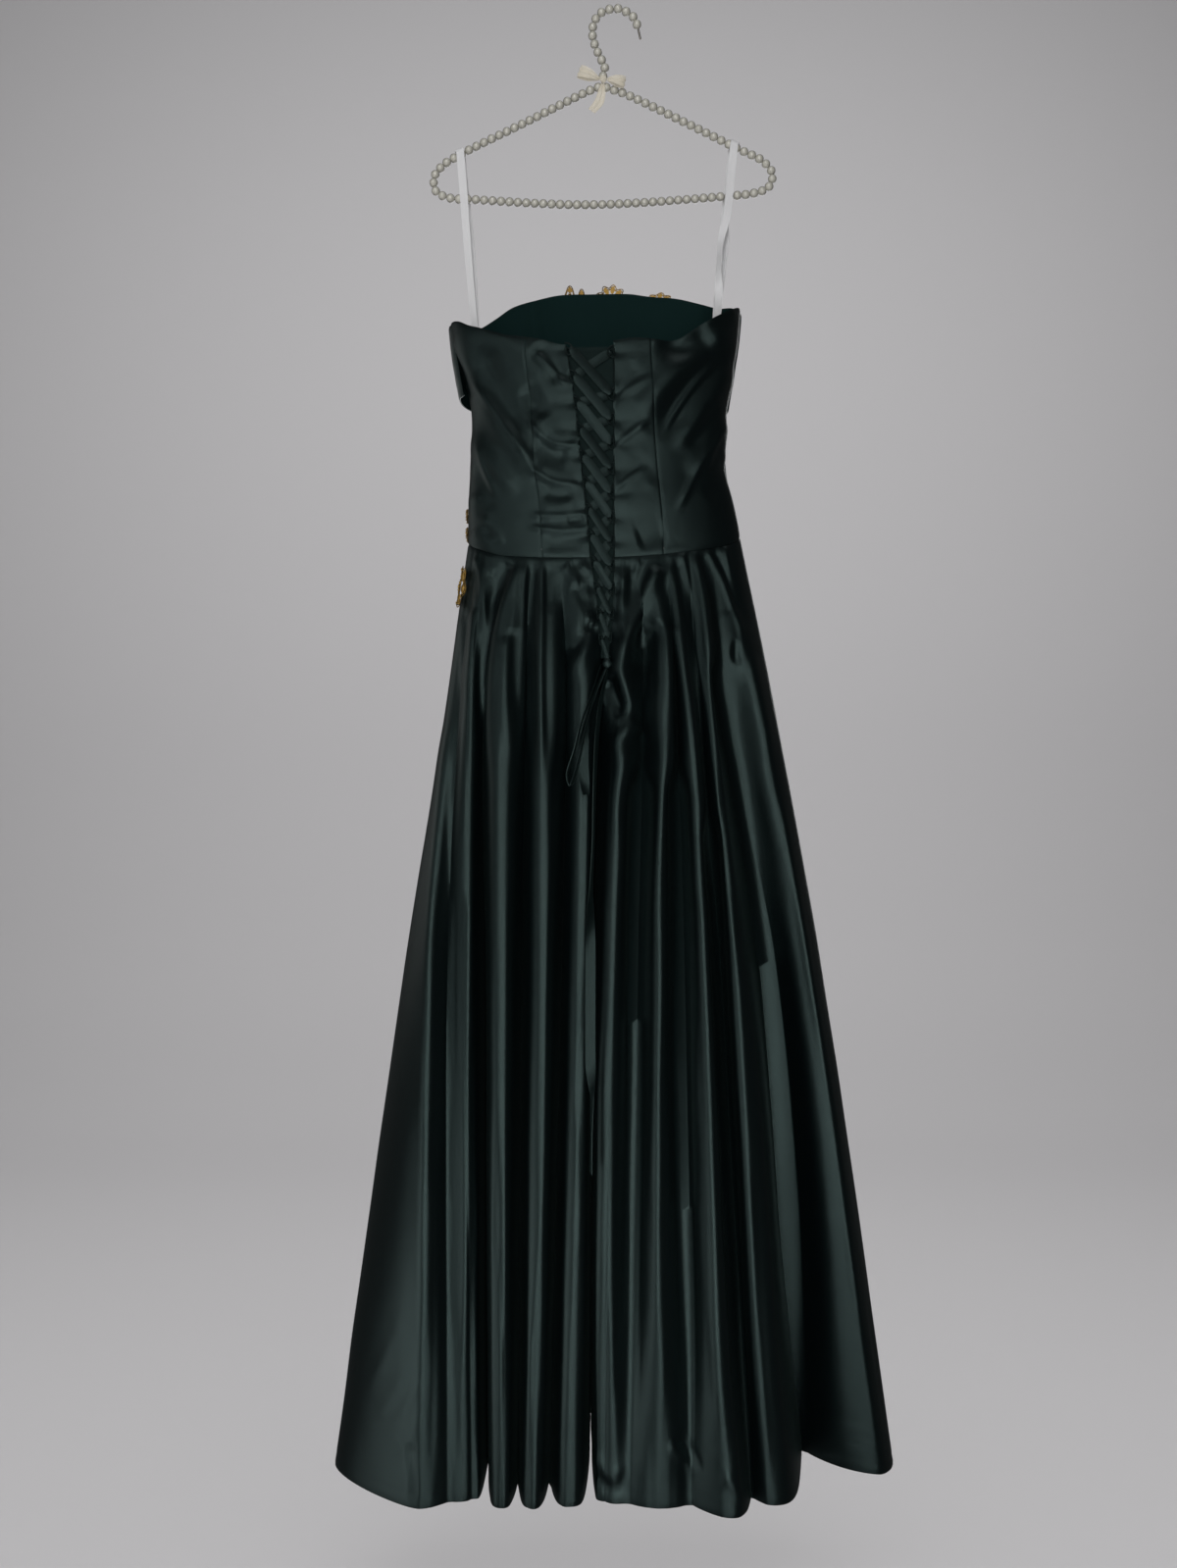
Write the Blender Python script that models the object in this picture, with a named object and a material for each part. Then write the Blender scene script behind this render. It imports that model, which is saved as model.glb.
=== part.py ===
"""Strapless a-line prom dress with a laced back, hung by two ribbon loops on a beaded hanger.

The origin is the inside of the hook's crown, where a rod or a peg holds the hanger.
+Z is up, +X is to the right of someone who looks at the laced back, and the laced back
faces -Y. All tables are in millimetres and are turned into metres where a mesh is made.
"""

import math

import bmesh
import bpy
from mathutils import Vector

MM = 0.001

# Cloth and trim thickness
SATIN = 1.5
LINING = 1.0
RIBBON = 0.8
SEAM_GAP = 0.3
LAYER_GAP = 0.8
WAIST_GAP = 0.4

# Main heights below the hook's crown
WAIST_BACK_Z = -629.0
HIP_Z = -773.0
KNEE_Z = -1092.0
HEM_Z = -1655.0

# Bodice sections from the waist to the neckline: height, left x, right x, back and front depth
BODICE_SECTIONS = (
    (-640.0, -169.0, 144.0, 52.0, 52.0),
    (-600.0, -168.4, 141.5, 52.0, 53.0),
    (-567.0, -168.0, 135.5, 53.0, 58.0),
    (-522.0, -166.6, 126.0, 54.5, 70.0),
    (-460.0, -164.5, 126.0, 58.0, 90.0),
    (-415.0, -171.0, 133.0, 60.0, 101.0),
    (-370.0, -180.0, 139.5, 61.0, 104.0),
    (-340.0, -182.0, 141.7, 61.0, 103.0),
    (-275.0, -178.0, 140.0, 61.0, 98.0),
)
SECTION_POWER = 2.35
BODICE_ROWS = 8

# Waist seam height round the body, counted in degrees from the right side over the front
WAIST_SEAM = (
    (0.0, -597.0),
    (45.0, -600.0),
    (90.0, -601.0),
    (135.0, -603.0),
    (180.0, -606.0),
    (205.0, -616.0),
    (230.0, -627.0),
    (270.0, -630.0),
    (300.0, -623.0),
    (330.0, -612.0),
    (360.0, -597.0),
)

# Top edge of the back and of the front: x, height
BACK_TOP = (
    (-182.0, -356.0),
    (-158.0, -366.0),
    (-140.0, -371.0),
    (-109.0, -386.0),
    (-84.0, -392.0),
    (-57.0, -399.0),
    (-6.0, -395.0),
    (18.0, -391.0),
    (65.0, -391.0),
    (91.0, -374.0),
    (115.0, -358.0),
    (141.7, -340.0),
)
FRONT_TOP = (
    (-182.0, -356.0),
    (-160.0, -343.0),
    (-143.0, -331.0),
    (-122.0, -308.0),
    (-95.0, -294.0),
    (-66.0, -285.0),
    (-30.0, -281.6),
    (17.0, -281.6),
    (42.0, -286.0),
    (76.0, -292.0),
    (104.0, -304.0),
    (125.0, -318.0),
    (141.7, -340.0),
)

# Shaping seams of the bodice: height, x
BACK_SEAM_LEFT = (
    (-640.0, -82.0),
    (-567.0, -86.4),
    (-540.0, -90.5),
    (-475.0, -94.7),
    (-409.0, -101.0),
)
BACK_SEAM_RIGHT = ((-640.0, 52.0), (-588.0, 50.5), (-509.0, 42.7), (-395.0, 37.2))
FRONT_SEAM_LEFT = ((-640.0, -84.0), (-520.0, -92.0), (-400.0, -108.0), (-290.0, -112.0))
FRONT_SEAM_RIGHT = ((-640.0, 22.0), (-520.0, 26.0), (-400.0, 24.0), (-290.0, 19.0))

# Open back between the two laced edges: height, left edge, right edge
PLACKET = (
    (-773.0, -16.2, -15.8),
    (-764.0, -16.4, -15.2),
    (-750.0, -17.6, -8.6),
    (-731.0, -18.6, -7.4),
    (-680.0, -22.8, -3.8),
    (-628.0, -29.2, -3.5),
    (-570.0, -34.6, -3.6),
    (-514.0, -41.0, -3.6),
    (-462.0, -46.5, -3.7),
    (-390.0, -57.5, -3.7),
)

# Skirt fold lines, anticlockwise seen from above, from the right edge of the lacing.
# Columns: name, x at the waist, x and y at the hip, at the knee and at the hem
BACK_RIGHT_FOLDS = (
    ("ridge_8", 9.6, 8.3, -72.0, -4.9, -76.0, -13.4, -76.0),
    ("valley_8", 24.7, 28.7, -58.0, 20.0, -62.0, 14.0, -82.0),
    ("ridge_9b", 37.7, 53.3, -74.0, 45.6, -82.0, 46.4, -90.0),
    ("valley_9", 51.7, 64.0, -60.0, 72.2, -66.0, 80.1, -84.0),
    ("ridge_9", 61.4, 75.8, -73.0, 95.8, -86.0, 120.0, -106.0),
    ("valley_10", 76.5, 88.7, -57.0, 114.2, -60.0, 146.0, -70.0),
    ("ridge_11", 89.4, 102.6, -67.0, 128.7, -84.0, 168.0, -84.0),
    ("valley_11", 104.5, 121.0, -47.0, 171.7, -30.0, 218.0, 24.0),
    ("ridge_13", 123.9, 156.0, -40.0, 214.0, -44.0, 296.0, -24.0),
)
RIGHT_SIDE = ("right_side", 144.0, 177.0, 0.0, 233.7, 0.0, 317.0, 0.0)
FRONT_FOLDS = (
    ("front_ridge_1", 118.0, 140.0, 50.0, 182.0, 72.0, 226.0, 96.0),
    ("front_valley_1", 92.0, 104.0, 46.0, 124.0, 44.0, 150.0, 50.0),
    ("front_ridge_2", 62.0, 66.0, 66.0, 76.0, 86.0, 90.0, 110.0),
    ("front_valley_2", 28.0, 28.0, 58.0, 32.0, 58.0, 35.0, 60.0),
    ("front_ridge_3", -12.0, -14.0, 69.0, -20.0, 90.0, -28.0, 112.0),
    ("front_valley_3", -52.0, -58.0, 57.0, -70.0, 56.0, -88.0, 58.0),
    ("front_ridge_4", -88.0, -98.0, 66.0, -120.0, 86.0, -148.0, 108.0),
    ("front_valley_4", -120.0, -134.0, 50.0, -164.0, 48.0, -205.0, 50.0),
    ("front_ridge_5", -146.0, -166.0, 44.0, -208.0, 62.0, -265.0, 84.0),
)
LEFT_SIDE = ("left_side", -169.0, -190.0, 0.0, -242.0, 0.0, -321.4, 0.0)
BACK_LEFT_FOLDS = (
    ("ridge_1", -163.5, -186.0, -28.0, -206.0, -70.0, -214.0, -90.0),
    ("valley_1", -154.0, -172.0, -40.0, -186.0, -58.0, -182.5, -80.0),
    ("ridge_2", -144.0, -160.0, -54.0, -166.0, -66.0, -156.0, -72.0),
    ("valley_4", -122.0, -146.0, -48.0, -147.0, -22.0, -145.0, 15.0),
    ("ridge_4", -108.0, -121.4, -70.0, -125.1, -84.0, -124.6, -90.0),
    ("valley_5", -96.0, -100.0, -58.0, -104.7, -52.0, -109.6, -42.0),
    ("ridge_5", -81.3, -81.0, -75.0, -80.9, -82.0, -91.6, -90.0),
    ("valley_7", -62.0, -56.0, -58.0, -61.6, -50.0, -74.5, -42.0),
    ("ridge_7", -44.0, -36.0, -73.0, -41.0, -78.0, -53.4, -86.0),
)
# Centre back seam of the skirt, at the bottom of the deep middle fold: height, x, y
CENTRE_BACK = (
    (-1655.0, -28.4, 20.0),
    (-1370.0, -28.0, -4.0),
    (-1092.0, -27.1, -28.0),
    (-900.0, -22.0, -48.0),
    (-773.0, -16.0, -60.0),
    (-700.0, -15.0, -56.6),
    (-628.0, -16.0, -52.0),
)
SKIRT_ROWS = (0.0, 0.022, 0.05, 0.085, 0.118, 0.145, 0.2, 0.28, 0.38, 0.5, 0.64, 0.78, 0.9, 1.0)

# Hanger, in the plane y = 0: x, height
BEAD_PITCH = 10.4
BEAD_RADIUS = 5.0
BEAD_SHOULDER = 4.75
CORD_RADIUS = 1.8
BEAD_SIDES = 6
HANGER_OUTLINE = (
    (-15.7, -83.5),
    (-26.0, -86.4),
    (-105.3, -125.4),
    (-182.0, -163.4),
    (-198.2, -174.0),
    (-207.6, -187.0),
    (-205.4, -203.0),
    (-190.0, -210.4),
    (-164.6, -212.2),
    (-30.2, -218.4),
    (125.4, -208.6),
    (158.0, -205.0),
    (174.2, -198.2),
    (178.6, -183.0),
    (168.0, -168.8),
    (140.0, -154.8),
    (10.1, -91.6),
    (-5.4, -86.4),
)
HOOK_LINE = (
    (-15.7, -80.0),
    (-14.6, -70.6),
    (-12.8, -60.5),
    (-19.0, -48.2),
    (-25.8, -30.2),
    (-26.9, -19.0),
    (-24.1, -7.8),
    (-16.8, 1.1),
    (-5.6, 5.2),
    (5.0, 5.2),
    (13.4, 1.1),
    (21.3, -5.6),
    (24.6, -14.6),
    (28.0, -29.0),
)
HOOK_BARE_WIRE = 12.0

# Ribbon loops that carry the dress: x on the arm, x at the bodice, height of the sewn end
LOOP_WIDTH = 9.0
LOOP_LEFT = (-177.0, -158.0, -392.0)
LOOP_RIGHT = (134.0, 110.5, -388.0)

# Lacing: the first left and right loops, their pitch, and how many strips lie on top
LACE_WIDTH = 12.0
LEFT_LOOP_Z = -404.0
LEFT_LOOP_PITCH = 28.9
RIGHT_FIRST_Z = -407.0
RIGHT_LOOP_Z = -453.0
RIGHT_LOOP_PITCH = 26.6
TOP_STRIPS = 12
CORD_LOOP_RADIUS = 0.8
CORD_LOOP_CLEAR = 0.45
CORD_LOOP_SHORT = 3.4
CORD_LOOP_LONG = 6.5
CORD_LOOP_DEPTH = -0.4
LACE_LAYER = 1.8
TURN_INSET = 2.5
TURN_INSET_WIDE = 3.8

COLOURS = {
    "satin": ((0.030, 0.046, 0.047, 1.0), 0.32),
    "lining": ((0.014, 0.036, 0.036, 1.0), 0.75),
    "lace_ribbon": ((0.028, 0.046, 0.046, 1.0), 0.34),
    "white_ribbon": ((0.86, 0.86, 0.86, 1.0), 0.55),
    "pearl": ((0.82, 0.78, 0.70, 1.0), 0.25),
    "sheer": ((0.78, 0.72, 0.58, 1.0), 0.6),
    "gold": ((0.42, 0.27, 0.08, 1.0), 0.45),
}


def clear_scene():
    """Remove whatever the file holds, so that the model starts from nothing."""
    for obj in list(bpy.data.objects):
        bpy.data.objects.remove(obj, do_unlink=True)


def finish_for(node, kind):
    """Give a node its own material, with the colour and roughness of its kind."""
    colour, roughness = COLOURS[kind]
    material = bpy.data.materials.new(node + "_finish")
    material.use_nodes = True
    shader = material.node_tree.nodes["Principled BSDF"]
    shader.inputs["Base Color"].default_value = colour
    shader.inputs["Roughness"].default_value = roughness
    shader.inputs["Metallic"].default_value = 0.0
    return material


def add_node(name, points, faces, kind):
    """Make one named closed solid from points in millimetres."""
    mesh = bpy.data.meshes.new(name)
    mesh.from_pydata([tuple(p * MM) for p in points], [], faces)
    shape = bmesh.new()
    shape.from_mesh(mesh)
    bmesh.ops.recalc_face_normals(shape, faces=shape.faces)
    shape.to_mesh(mesh)
    shape.free()
    obj = bpy.data.objects.new(name, mesh)
    bpy.context.scene.collection.objects.link(obj)
    mesh.materials.append(finish_for(name, kind))
    mesh.shade_smooth()
    mesh.set_sharp_from_angle(angle=math.radians(50.0))
    return obj


def read_table(rows, place, column=1):
    """Read a column of a table at a place on its first column, on a smooth curve."""
    if rows[0][0] > rows[-1][0]:
        rows = rows[::-1]
    keys = [row[0] for row in rows]
    values = [row[column] for row in rows]
    place = min(max(place, keys[0]), keys[-1])
    last = len(keys) - 1
    i = 0
    while i < last - 1 and place > keys[i + 1]:
        i += 1

    def slope(k):
        a = max(k - 1, 0)
        b = min(k + 1, last)
        return (values[b] - values[a]) / (keys[b] - keys[a])

    step = keys[i + 1] - keys[i]
    f = (place - keys[i]) / step
    rise = f * f * (3.0 - 2.0 * f)
    start_pull = f * (1.0 - f) * (1.0 - f) * step * slope(i)
    end_pull = f * f * (f - 1.0) * step * slope(i + 1)
    return values[i] + (values[i + 1] - values[i]) * rise + start_pull + end_pull


def blend4(p0, p1, p2, p3, f):
    """Point at fraction f between p1 and p2 on a centripetal curve through four points."""
    k0 = 0.0
    k1 = k0 + max((p1 - p0).length, 0.01) ** 0.5
    k2 = k1 + max((p2 - p1).length, 0.01) ** 0.5
    k3 = k2 + max((p3 - p2).length, 0.01) ** 0.5
    k = k1 + (k2 - k1) * f
    a1 = p0 * ((k1 - k) / (k1 - k0)) + p1 * ((k - k0) / (k1 - k0))
    a2 = p1 * ((k2 - k) / (k2 - k1)) + p2 * ((k - k1) / (k2 - k1))
    a3 = p2 * ((k3 - k) / (k3 - k2)) + p3 * ((k - k2) / (k3 - k2))
    b1 = a1 * ((k2 - k) / (k2 - k0)) + a2 * ((k - k0) / (k2 - k0))
    b2 = a2 * ((k3 - k) / (k3 - k1)) + a3 * ((k - k1) / (k3 - k1))
    return b1 * ((k2 - k) / (k2 - k1)) + b2 * ((k - k1) / (k2 - k1))


def along(points, place, closed=False):
    """Point on the smooth curve through points, at a place counted in points."""
    count = len(points)
    if closed:
        i = int(math.floor(place))
        near = [points[(i + k) % count] for k in (-1, 0, 1, 2)]
        return blend4(*near, place - i)
    i = min(max(int(math.floor(place)), 0), count - 2)
    before = points[i - 1] if i > 0 else points[0] * 2.0 - points[1]
    after = points[i + 2] if i + 2 < count else points[-1] * 2.0 - points[-2]
    return blend4(before, points[i], points[i + 1], after, place - i)


def section_at(z):
    """Side edges, back depth and front depth of the bodice at a height."""
    return [read_table(BODICE_SECTIONS, z, column) for column in (1, 2, 3, 4)]


def signed_power(value, power):
    return math.copysign(abs(value) ** power, value)


def bodice_point(angle, z):
    """Point on the outside of the bodice, angle 0 at the right side and 90 degrees in front."""
    left, right, back, front = section_at(z)
    power = 2.0 / SECTION_POWER
    x = (left + right) / 2.0 + (right - left) / 2.0 * signed_power(math.cos(angle), power)
    lift = signed_power(math.sin(angle), power)
    depth = front if lift > 0.0 else back
    return Vector((x, depth * lift, z))


def bodice_out(angle, z, distance):
    """Point at a distance outside the bodice surface, or inside it where negative."""
    turn = 0.02
    rise = 2.0
    across = bodice_point(angle + turn, z) - bodice_point(angle - turn, z)
    up = bodice_point(angle, z + rise) - bodice_point(angle, z - rise)
    return bodice_point(angle, z) + across.cross(up).normalized() * distance


def angle_at(x, z, on_back):
    """Angle of the bodice point that has this x, on the back or on the front."""
    left, right, back, front = section_at(z)
    share = (x - (left + right) / 2.0) / ((right - left) / 2.0)
    share = min(max(share, -1.0), 1.0)
    angle = math.acos(signed_power(share, SECTION_POWER / 2.0))
    return 2.0 * math.pi - angle if on_back else angle


def waist_z(angle):
    return read_table(WAIST_SEAM, math.degrees(angle) % 360.0)


def top_z(angle):
    """Height of the neckline over an angle, found by its x on the back or the front."""
    z = -350.0
    for _ in range(4):
        x = bodice_point(angle, z).x
        z = read_table(BACK_TOP if math.sin(angle) < 0.0 else FRONT_TOP, x)
    return z


def wall(name, outer, inner, kind):
    """Closed wall from two grids of points, each a list of rows from bottom to top."""
    rows = len(outer)
    columns = len(outer[0])
    points = [p for row in outer for p in row] + [p for row in inner for p in row]
    shift = rows * columns
    faces = []

    def quad(a, b, c, d):
        faces.append((a, b, c))
        faces.append((a, c, d))

    for j in range(rows - 1):
        for i in range(columns - 1):
            a = j * columns + i
            b = a + 1
            c = b + columns
            d = a + columns
            quad(a, b, c, d)
            faces.append((a + shift, c + shift, b + shift))
            faces.append((a + shift, d + shift, c + shift))
    for i in range(columns - 1):
        low = i
        high = (rows - 1) * columns + i
        quad(low, low + shift, low + 1 + shift, low + 1)
        quad(high, high + 1, high + 1 + shift, high + shift)
    for j in range(rows - 1):
        first = j * columns
        last = first + columns - 1
        quad(first, first + columns, first + columns + shift, first + shift)
        quad(last, last + shift, last + columns + shift, last + columns)
    return add_node(name, points, faces, kind)


def bodice_panel(name, first_edge, last_edge, columns, outer_gap, thickness, kind="satin", short=0.0):
    """Panel between two edges, each a function from height to angle, up to the neckline.

    It ends short of the waist seam and of the neckline by the length named short.
    """
    rows = BODICE_ROWS
    outer = []
    inner = []
    for j in range(rows + 1):
        f = j / rows
        outer_row = []
        inner_row = []
        for i in range(columns + 1):
            u = i / columns
            z = -500.0
            for _ in range(3):
                angle = first_edge(z) * (1.0 - u) + last_edge(z) * u
                low = waist_z(angle) + short
                high = top_z(angle) - short
                z = low + (high - low) * f
            angle = first_edge(z) * (1.0 - u) + last_edge(z) * u
            outer_row.append(bodice_out(angle, z, outer_gap))
            inner_row.append(bodice_out(angle, z, outer_gap - thickness))
        outer.append(outer_row)
        inner.append(inner_row)
    return wall(name, outer, inner, kind)


def seam(table, on_back, side):
    """Edge of a panel on a shaping seam, half the seam gap to one side of it."""

    def edge(z):
        x = read_table(table, z)
        half = side * SEAM_GAP / 2.0 * (1.0 if on_back else -1.0)
        return angle_at(x + half, z, on_back)

    return edge


def side_seam(angle, side):
    """Edge of a panel on a side seam, half the seam gap to one side of it."""
    return lambda z: angle + side * SEAM_GAP / 2.0 / 58.0


def placket_edge(column):
    return lambda z: angle_at(read_table(PLACKET, z, column), z, True)


def make_bodice():
    full = 2.0 * math.pi
    panels = (
        ("bodice_front_side_right", side_seam(0.0, 1.0), seam(FRONT_SEAM_RIGHT, False, -1.0), 11),
        (
            "bodice_front_centre",
            seam(FRONT_SEAM_RIGHT, False, 1.0),
            seam(FRONT_SEAM_LEFT, False, -1.0),
            8,
        ),
        ("bodice_front_side_left", seam(FRONT_SEAM_LEFT, False, 1.0), side_seam(math.pi, -1.0), 9),
        ("bodice_back_side_left", side_seam(math.pi, 1.0), seam(BACK_SEAM_LEFT, True, -1.0), 8),
        ("bodice_back_centre_left", seam(BACK_SEAM_LEFT, True, 1.0), placket_edge(1), 4),
        ("bodice_back_centre_right", placket_edge(2), seam(BACK_SEAM_RIGHT, True, -1.0), 4),
        ("bodice_back_side_right", seam(BACK_SEAM_RIGHT, True, 1.0), side_seam(full, -1.0), 8),
    )
    for name, first, last, columns in panels:
        bodice_panel(name, first, last, columns, 0.0, SATIN)


def make_front_lining():
    """Inside of the front, which shows over the lower back edge."""
    inset = -SATIN - LAYER_GAP
    first = side_seam(0.0, 6.0)
    last = side_seam(math.pi, -6.0)
    bodice_panel("front_lining", first, last, 16, inset, LINING, "lining", 1.5)


BAND_TOP_DROP = 2.0
BAND_LOW_LEFT = -441.0
BAND_LOW_RIGHT = -455.0
BAND_MIDDLE_RISE = 6.0
BAND_FOLDS = 4
BAND_FOLD_RISE = 2.2
BAND_COLUMNS = 26
BAND_ROWS = 8
BAND_START = math.radians(1.0)
BAND_END = math.radians(179.0)

# The left end of the band is slack: where that starts, and how far it stands off at the end
SLACK_START = math.radians(138.0)
SLACK_LIFT = 7.5


def band_height(angle):
    """Top and bottom of the draped band over an angle."""
    high = top_z(angle) - BAND_TOP_DROP
    low = BAND_LOW_RIGHT + (BAND_LOW_LEFT - BAND_LOW_RIGHT) * angle / math.pi
    low += BAND_MIDDLE_RISE * math.sin(angle) ** 2
    return low, high


def band_lift(angle):
    """How far the slack left end of the band stands off the bodice."""
    near = max(0.0, (angle - SLACK_START) / (math.pi - SLACK_START))
    return SLACK_LIFT * near * near * (3.0 - 2.0 * near)


def band_outside(angle, z):
    """Distance from the bodice to the outside of the draped band."""
    low, high = band_height(angle)
    f = min(max((z - low) / (high - low), 0.0), 1.0)
    wave = math.sin(math.pi * BAND_FOLDS * f) ** 2
    edge = min(f, 1.0 - f) * 5.0
    return LAYER_GAP + band_lift(angle) + SATIN + BAND_FOLD_RISE * wave * min(edge, 1.0)


def make_bust_band():
    """Draped band across the bust: a plain inside and long soft folds outside."""
    outer = []
    inner = []
    for j in range(BAND_ROWS + 1):
        f = j / BAND_ROWS
        outer_row = []
        inner_row = []
        for i in range(BAND_COLUMNS + 1):
            angle = BAND_START + (BAND_END - BAND_START) * i / BAND_COLUMNS
            low, high = band_height(angle)
            z = low + (high - low) * f
            outer_row.append(bodice_out(angle, z, band_outside(angle, z)))
            inner_row.append(bodice_out(angle, z, LAYER_GAP + band_lift(angle)))
        outer.append(outer_row)
        inner.append(inner_row)
    wall("bust_band", outer, inner, "satin")


def fold_line(row, on_back):
    """Waist angle of one fold line, and its stations as rows of height, x and y."""
    name, waist_x, hip_x, hip_y, knee_x, knee_y, hem_x, hem_y = row
    angle = angle_at(waist_x, -615.0, on_back)
    start = bodice_point(angle, waist_z(angle))
    stations = [
        (start.z - WAIST_GAP, start.x, start.y),
        (HIP_Z, hip_x, hip_y),
        (KNEE_Z, knee_x, knee_y),
        (HEM_Z, hem_x, hem_y),
    ]
    return angle, stations


def centre_back_line(column):
    """Fold line on one edge of the laced opening and, below that, of the centre back seam."""
    side = -1.0 if column == 1 else 1.0
    angle = angle_at(read_table(PLACKET, WAIST_BACK_Z, column), WAIST_BACK_Z, True)
    start = bodice_point(angle, waist_z(angle))
    stations = [(start.z - WAIST_GAP, start.x, start.y)]
    for z in (-655.0, -680.0, -705.0, -731.0, -750.0, -764.0, HIP_Z):
        stations.append((z, read_table(PLACKET, z, column), read_table(CENTRE_BACK, z, 2)))
    for z in (-782.0, -800.0, -840.0, -900.0, -990.0, KNEE_Z, -1220.0, -1370.0, -1520.0, HEM_Z):
        x = read_table(CENTRE_BACK, z, 1) + side * (WAIST_GAP / 2.0)
        stations.append((z, x, read_table(CENTRE_BACK, z, 2)))
    return angle, stations


def unwound(lines):
    """Waist angles of the fold lines, each raised by whole turns above the one before."""
    angles = []
    for angle, _ in lines:
        while angles and angle < angles[-1] - 0.0001:
            angle += 2.0 * math.pi
        angles.append(angle)
    return angles


RIGHT_LINES = [centre_back_line(2)] + [fold_line(row, True) for row in BACK_RIGHT_FOLDS]
FRONT_LINES = [fold_line(row, False) for row in FRONT_FOLDS]
LEFT_LINES = [fold_line(row, True) for row in BACK_LEFT_FOLDS] + [centre_back_line(1)]
SKIRT_LINES = (
    RIGHT_LINES + [fold_line(RIGHT_SIDE, False)] + FRONT_LINES + [fold_line(LEFT_SIDE, False)] + LEFT_LINES
)
WAIST_ANGLES = unwound(SKIRT_LINES)
RIGHT_SEAM = len(RIGHT_LINES)
LEFT_SEAM = RIGHT_SEAM + len(FRONT_LINES) + 1
LAST_LINE = len(SKIRT_LINES) - 1
WAIST_FIT = 0.08


def line_point(line, t):
    stations = line[1]
    top = stations[0][0]
    z = top + (HEM_Z - top) * t
    return Vector((read_table(stations, z, 1), read_table(stations, z, 2), z))


def spline_point(s, t):
    """Smooth curve across the fold lines at s, counted in lines."""
    i = min(max(int(math.floor(s)), 0), LAST_LINE - 1)
    p1 = line_point(SKIRT_LINES[i], t)
    p2 = line_point(SKIRT_LINES[i + 1], t)
    p0 = line_point(SKIRT_LINES[i - 1], t) if i > 0 else p1 * 2.0 - p2
    p3 = line_point(SKIRT_LINES[i + 2], t) if i + 2 <= LAST_LINE else p2 * 2.0 - p1
    return blend4(p0, p1, p2, p3, s - i)


def skirt_point(s, t):
    """Outside of the skirt at s, and t from waist to hem; its top follows the waist seam."""
    point = spline_point(s, t)
    if t < WAIST_FIT:
        i = min(max(int(math.floor(s)), 0), LAST_LINE - 1)
        f = s - i
        angle = WAIST_ANGLES[i] * (1.0 - f) + WAIST_ANGLES[i + 1] * f
        height = waist_z(angle)
        seam_point = bodice_point(angle, height) - Vector((0.0, 0.0, WAIST_GAP))
        share = 1.0 - t / WAIST_FIT
        point += (seam_point - spline_point(s, 0.0)) * (share * share)
    return point


def skirt_out(s, t, distance):
    """Point at a distance outside the skirt surface, or inside it where negative."""
    ds = 0.03
    dt = 0.002
    s0 = max(s - ds, 0.0)
    s1 = min(s + ds, LAST_LINE - 0.0001)
    across = skirt_point(s1, t) - skirt_point(s0, t)
    up = skirt_point(s, max(t - dt, 0.0)) - skirt_point(s, min(t + dt, 1.0))
    return skirt_point(s, t) + across.cross(up).normalized() * distance


def skirt_panel(name, first, last, per_fold, gaps):
    """Skirt panel between two fold lines, with half a seam gap at the ends named in gaps."""
    count = (last - first) * per_fold
    outer = []
    inner = []
    for t in reversed(SKIRT_ROWS):
        outer_row = []
        inner_row = []
        for i in range(count + 1):
            s = first + i / per_fold
            if i == 0 and "first" in gaps:
                s += SEAM_GAP / 2.0 / (skirt_point(s + 0.5, t) - skirt_point(s, t)).length * 0.5
            if i == count and "last" in gaps:
                s -= SEAM_GAP / 2.0 / (skirt_point(s, t) - skirt_point(s - 0.5, t)).length * 0.5
            outer_row.append(skirt_out(s, t, 0.0))
            inner_row.append(skirt_out(s, t, -SATIN))
        outer.append(outer_row)
        inner.append(inner_row)
    wall(name, outer, inner, "satin")


def make_skirt():
    skirt_panel("skirt_back_right", 0, RIGHT_SEAM, 4, ("last",))
    skirt_panel("skirt_front", RIGHT_SEAM, LEFT_SEAM, 3, ("first", "last"))
    skirt_panel("skirt_back_left", LEFT_SEAM, LAST_LINE, 4, ("first",))


def skin(x, z, depth):
    """Point in the laced opening, at a depth behind (or before, if negative) its edges."""
    if z > WAIST_BACK_Z:
        y = bodice_point(angle_at(x, z, True), z).y
    else:
        y = read_table(CENTRE_BACK, z, 2)
    return Vector((x, y + depth, z))


MODESTY_TOP = -401.0
MODESTY_BOTTOM = -742.0
MODESTY_DEPTH = 2.6
MODESTY_MARGIN = 12.0
MODESTY_ROWS = 11
MODESTY_COLUMNS = 4


def make_modesty_panel():
    """Panel behind the lacing, wider than the opening all the way down."""
    outer = []
    inner = []
    for j in range(MODESTY_ROWS + 1):
        z = MODESTY_BOTTOM + (MODESTY_TOP - MODESTY_BOTTOM) * j / MODESTY_ROWS
        margin = MODESTY_MARGIN * min(1.0, 0.35 + (z - MODESTY_BOTTOM) / 260.0)
        left = read_table(PLACKET, z, 1) - margin
        right = read_table(PLACKET, z, 2) + margin
        outer_row = []
        inner_row = []
        for i in range(MODESTY_COLUMNS + 1):
            x = left + (right - left) * i / MODESTY_COLUMNS
            outer_row.append(skin(x, z, MODESTY_DEPTH))
            inner_row.append(skin(x, z, MODESTY_DEPTH + LINING))
        outer.append(outer_row)
        inner.append(inner_row)
    wall("modesty_panel", outer, inner, "satin")


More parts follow.
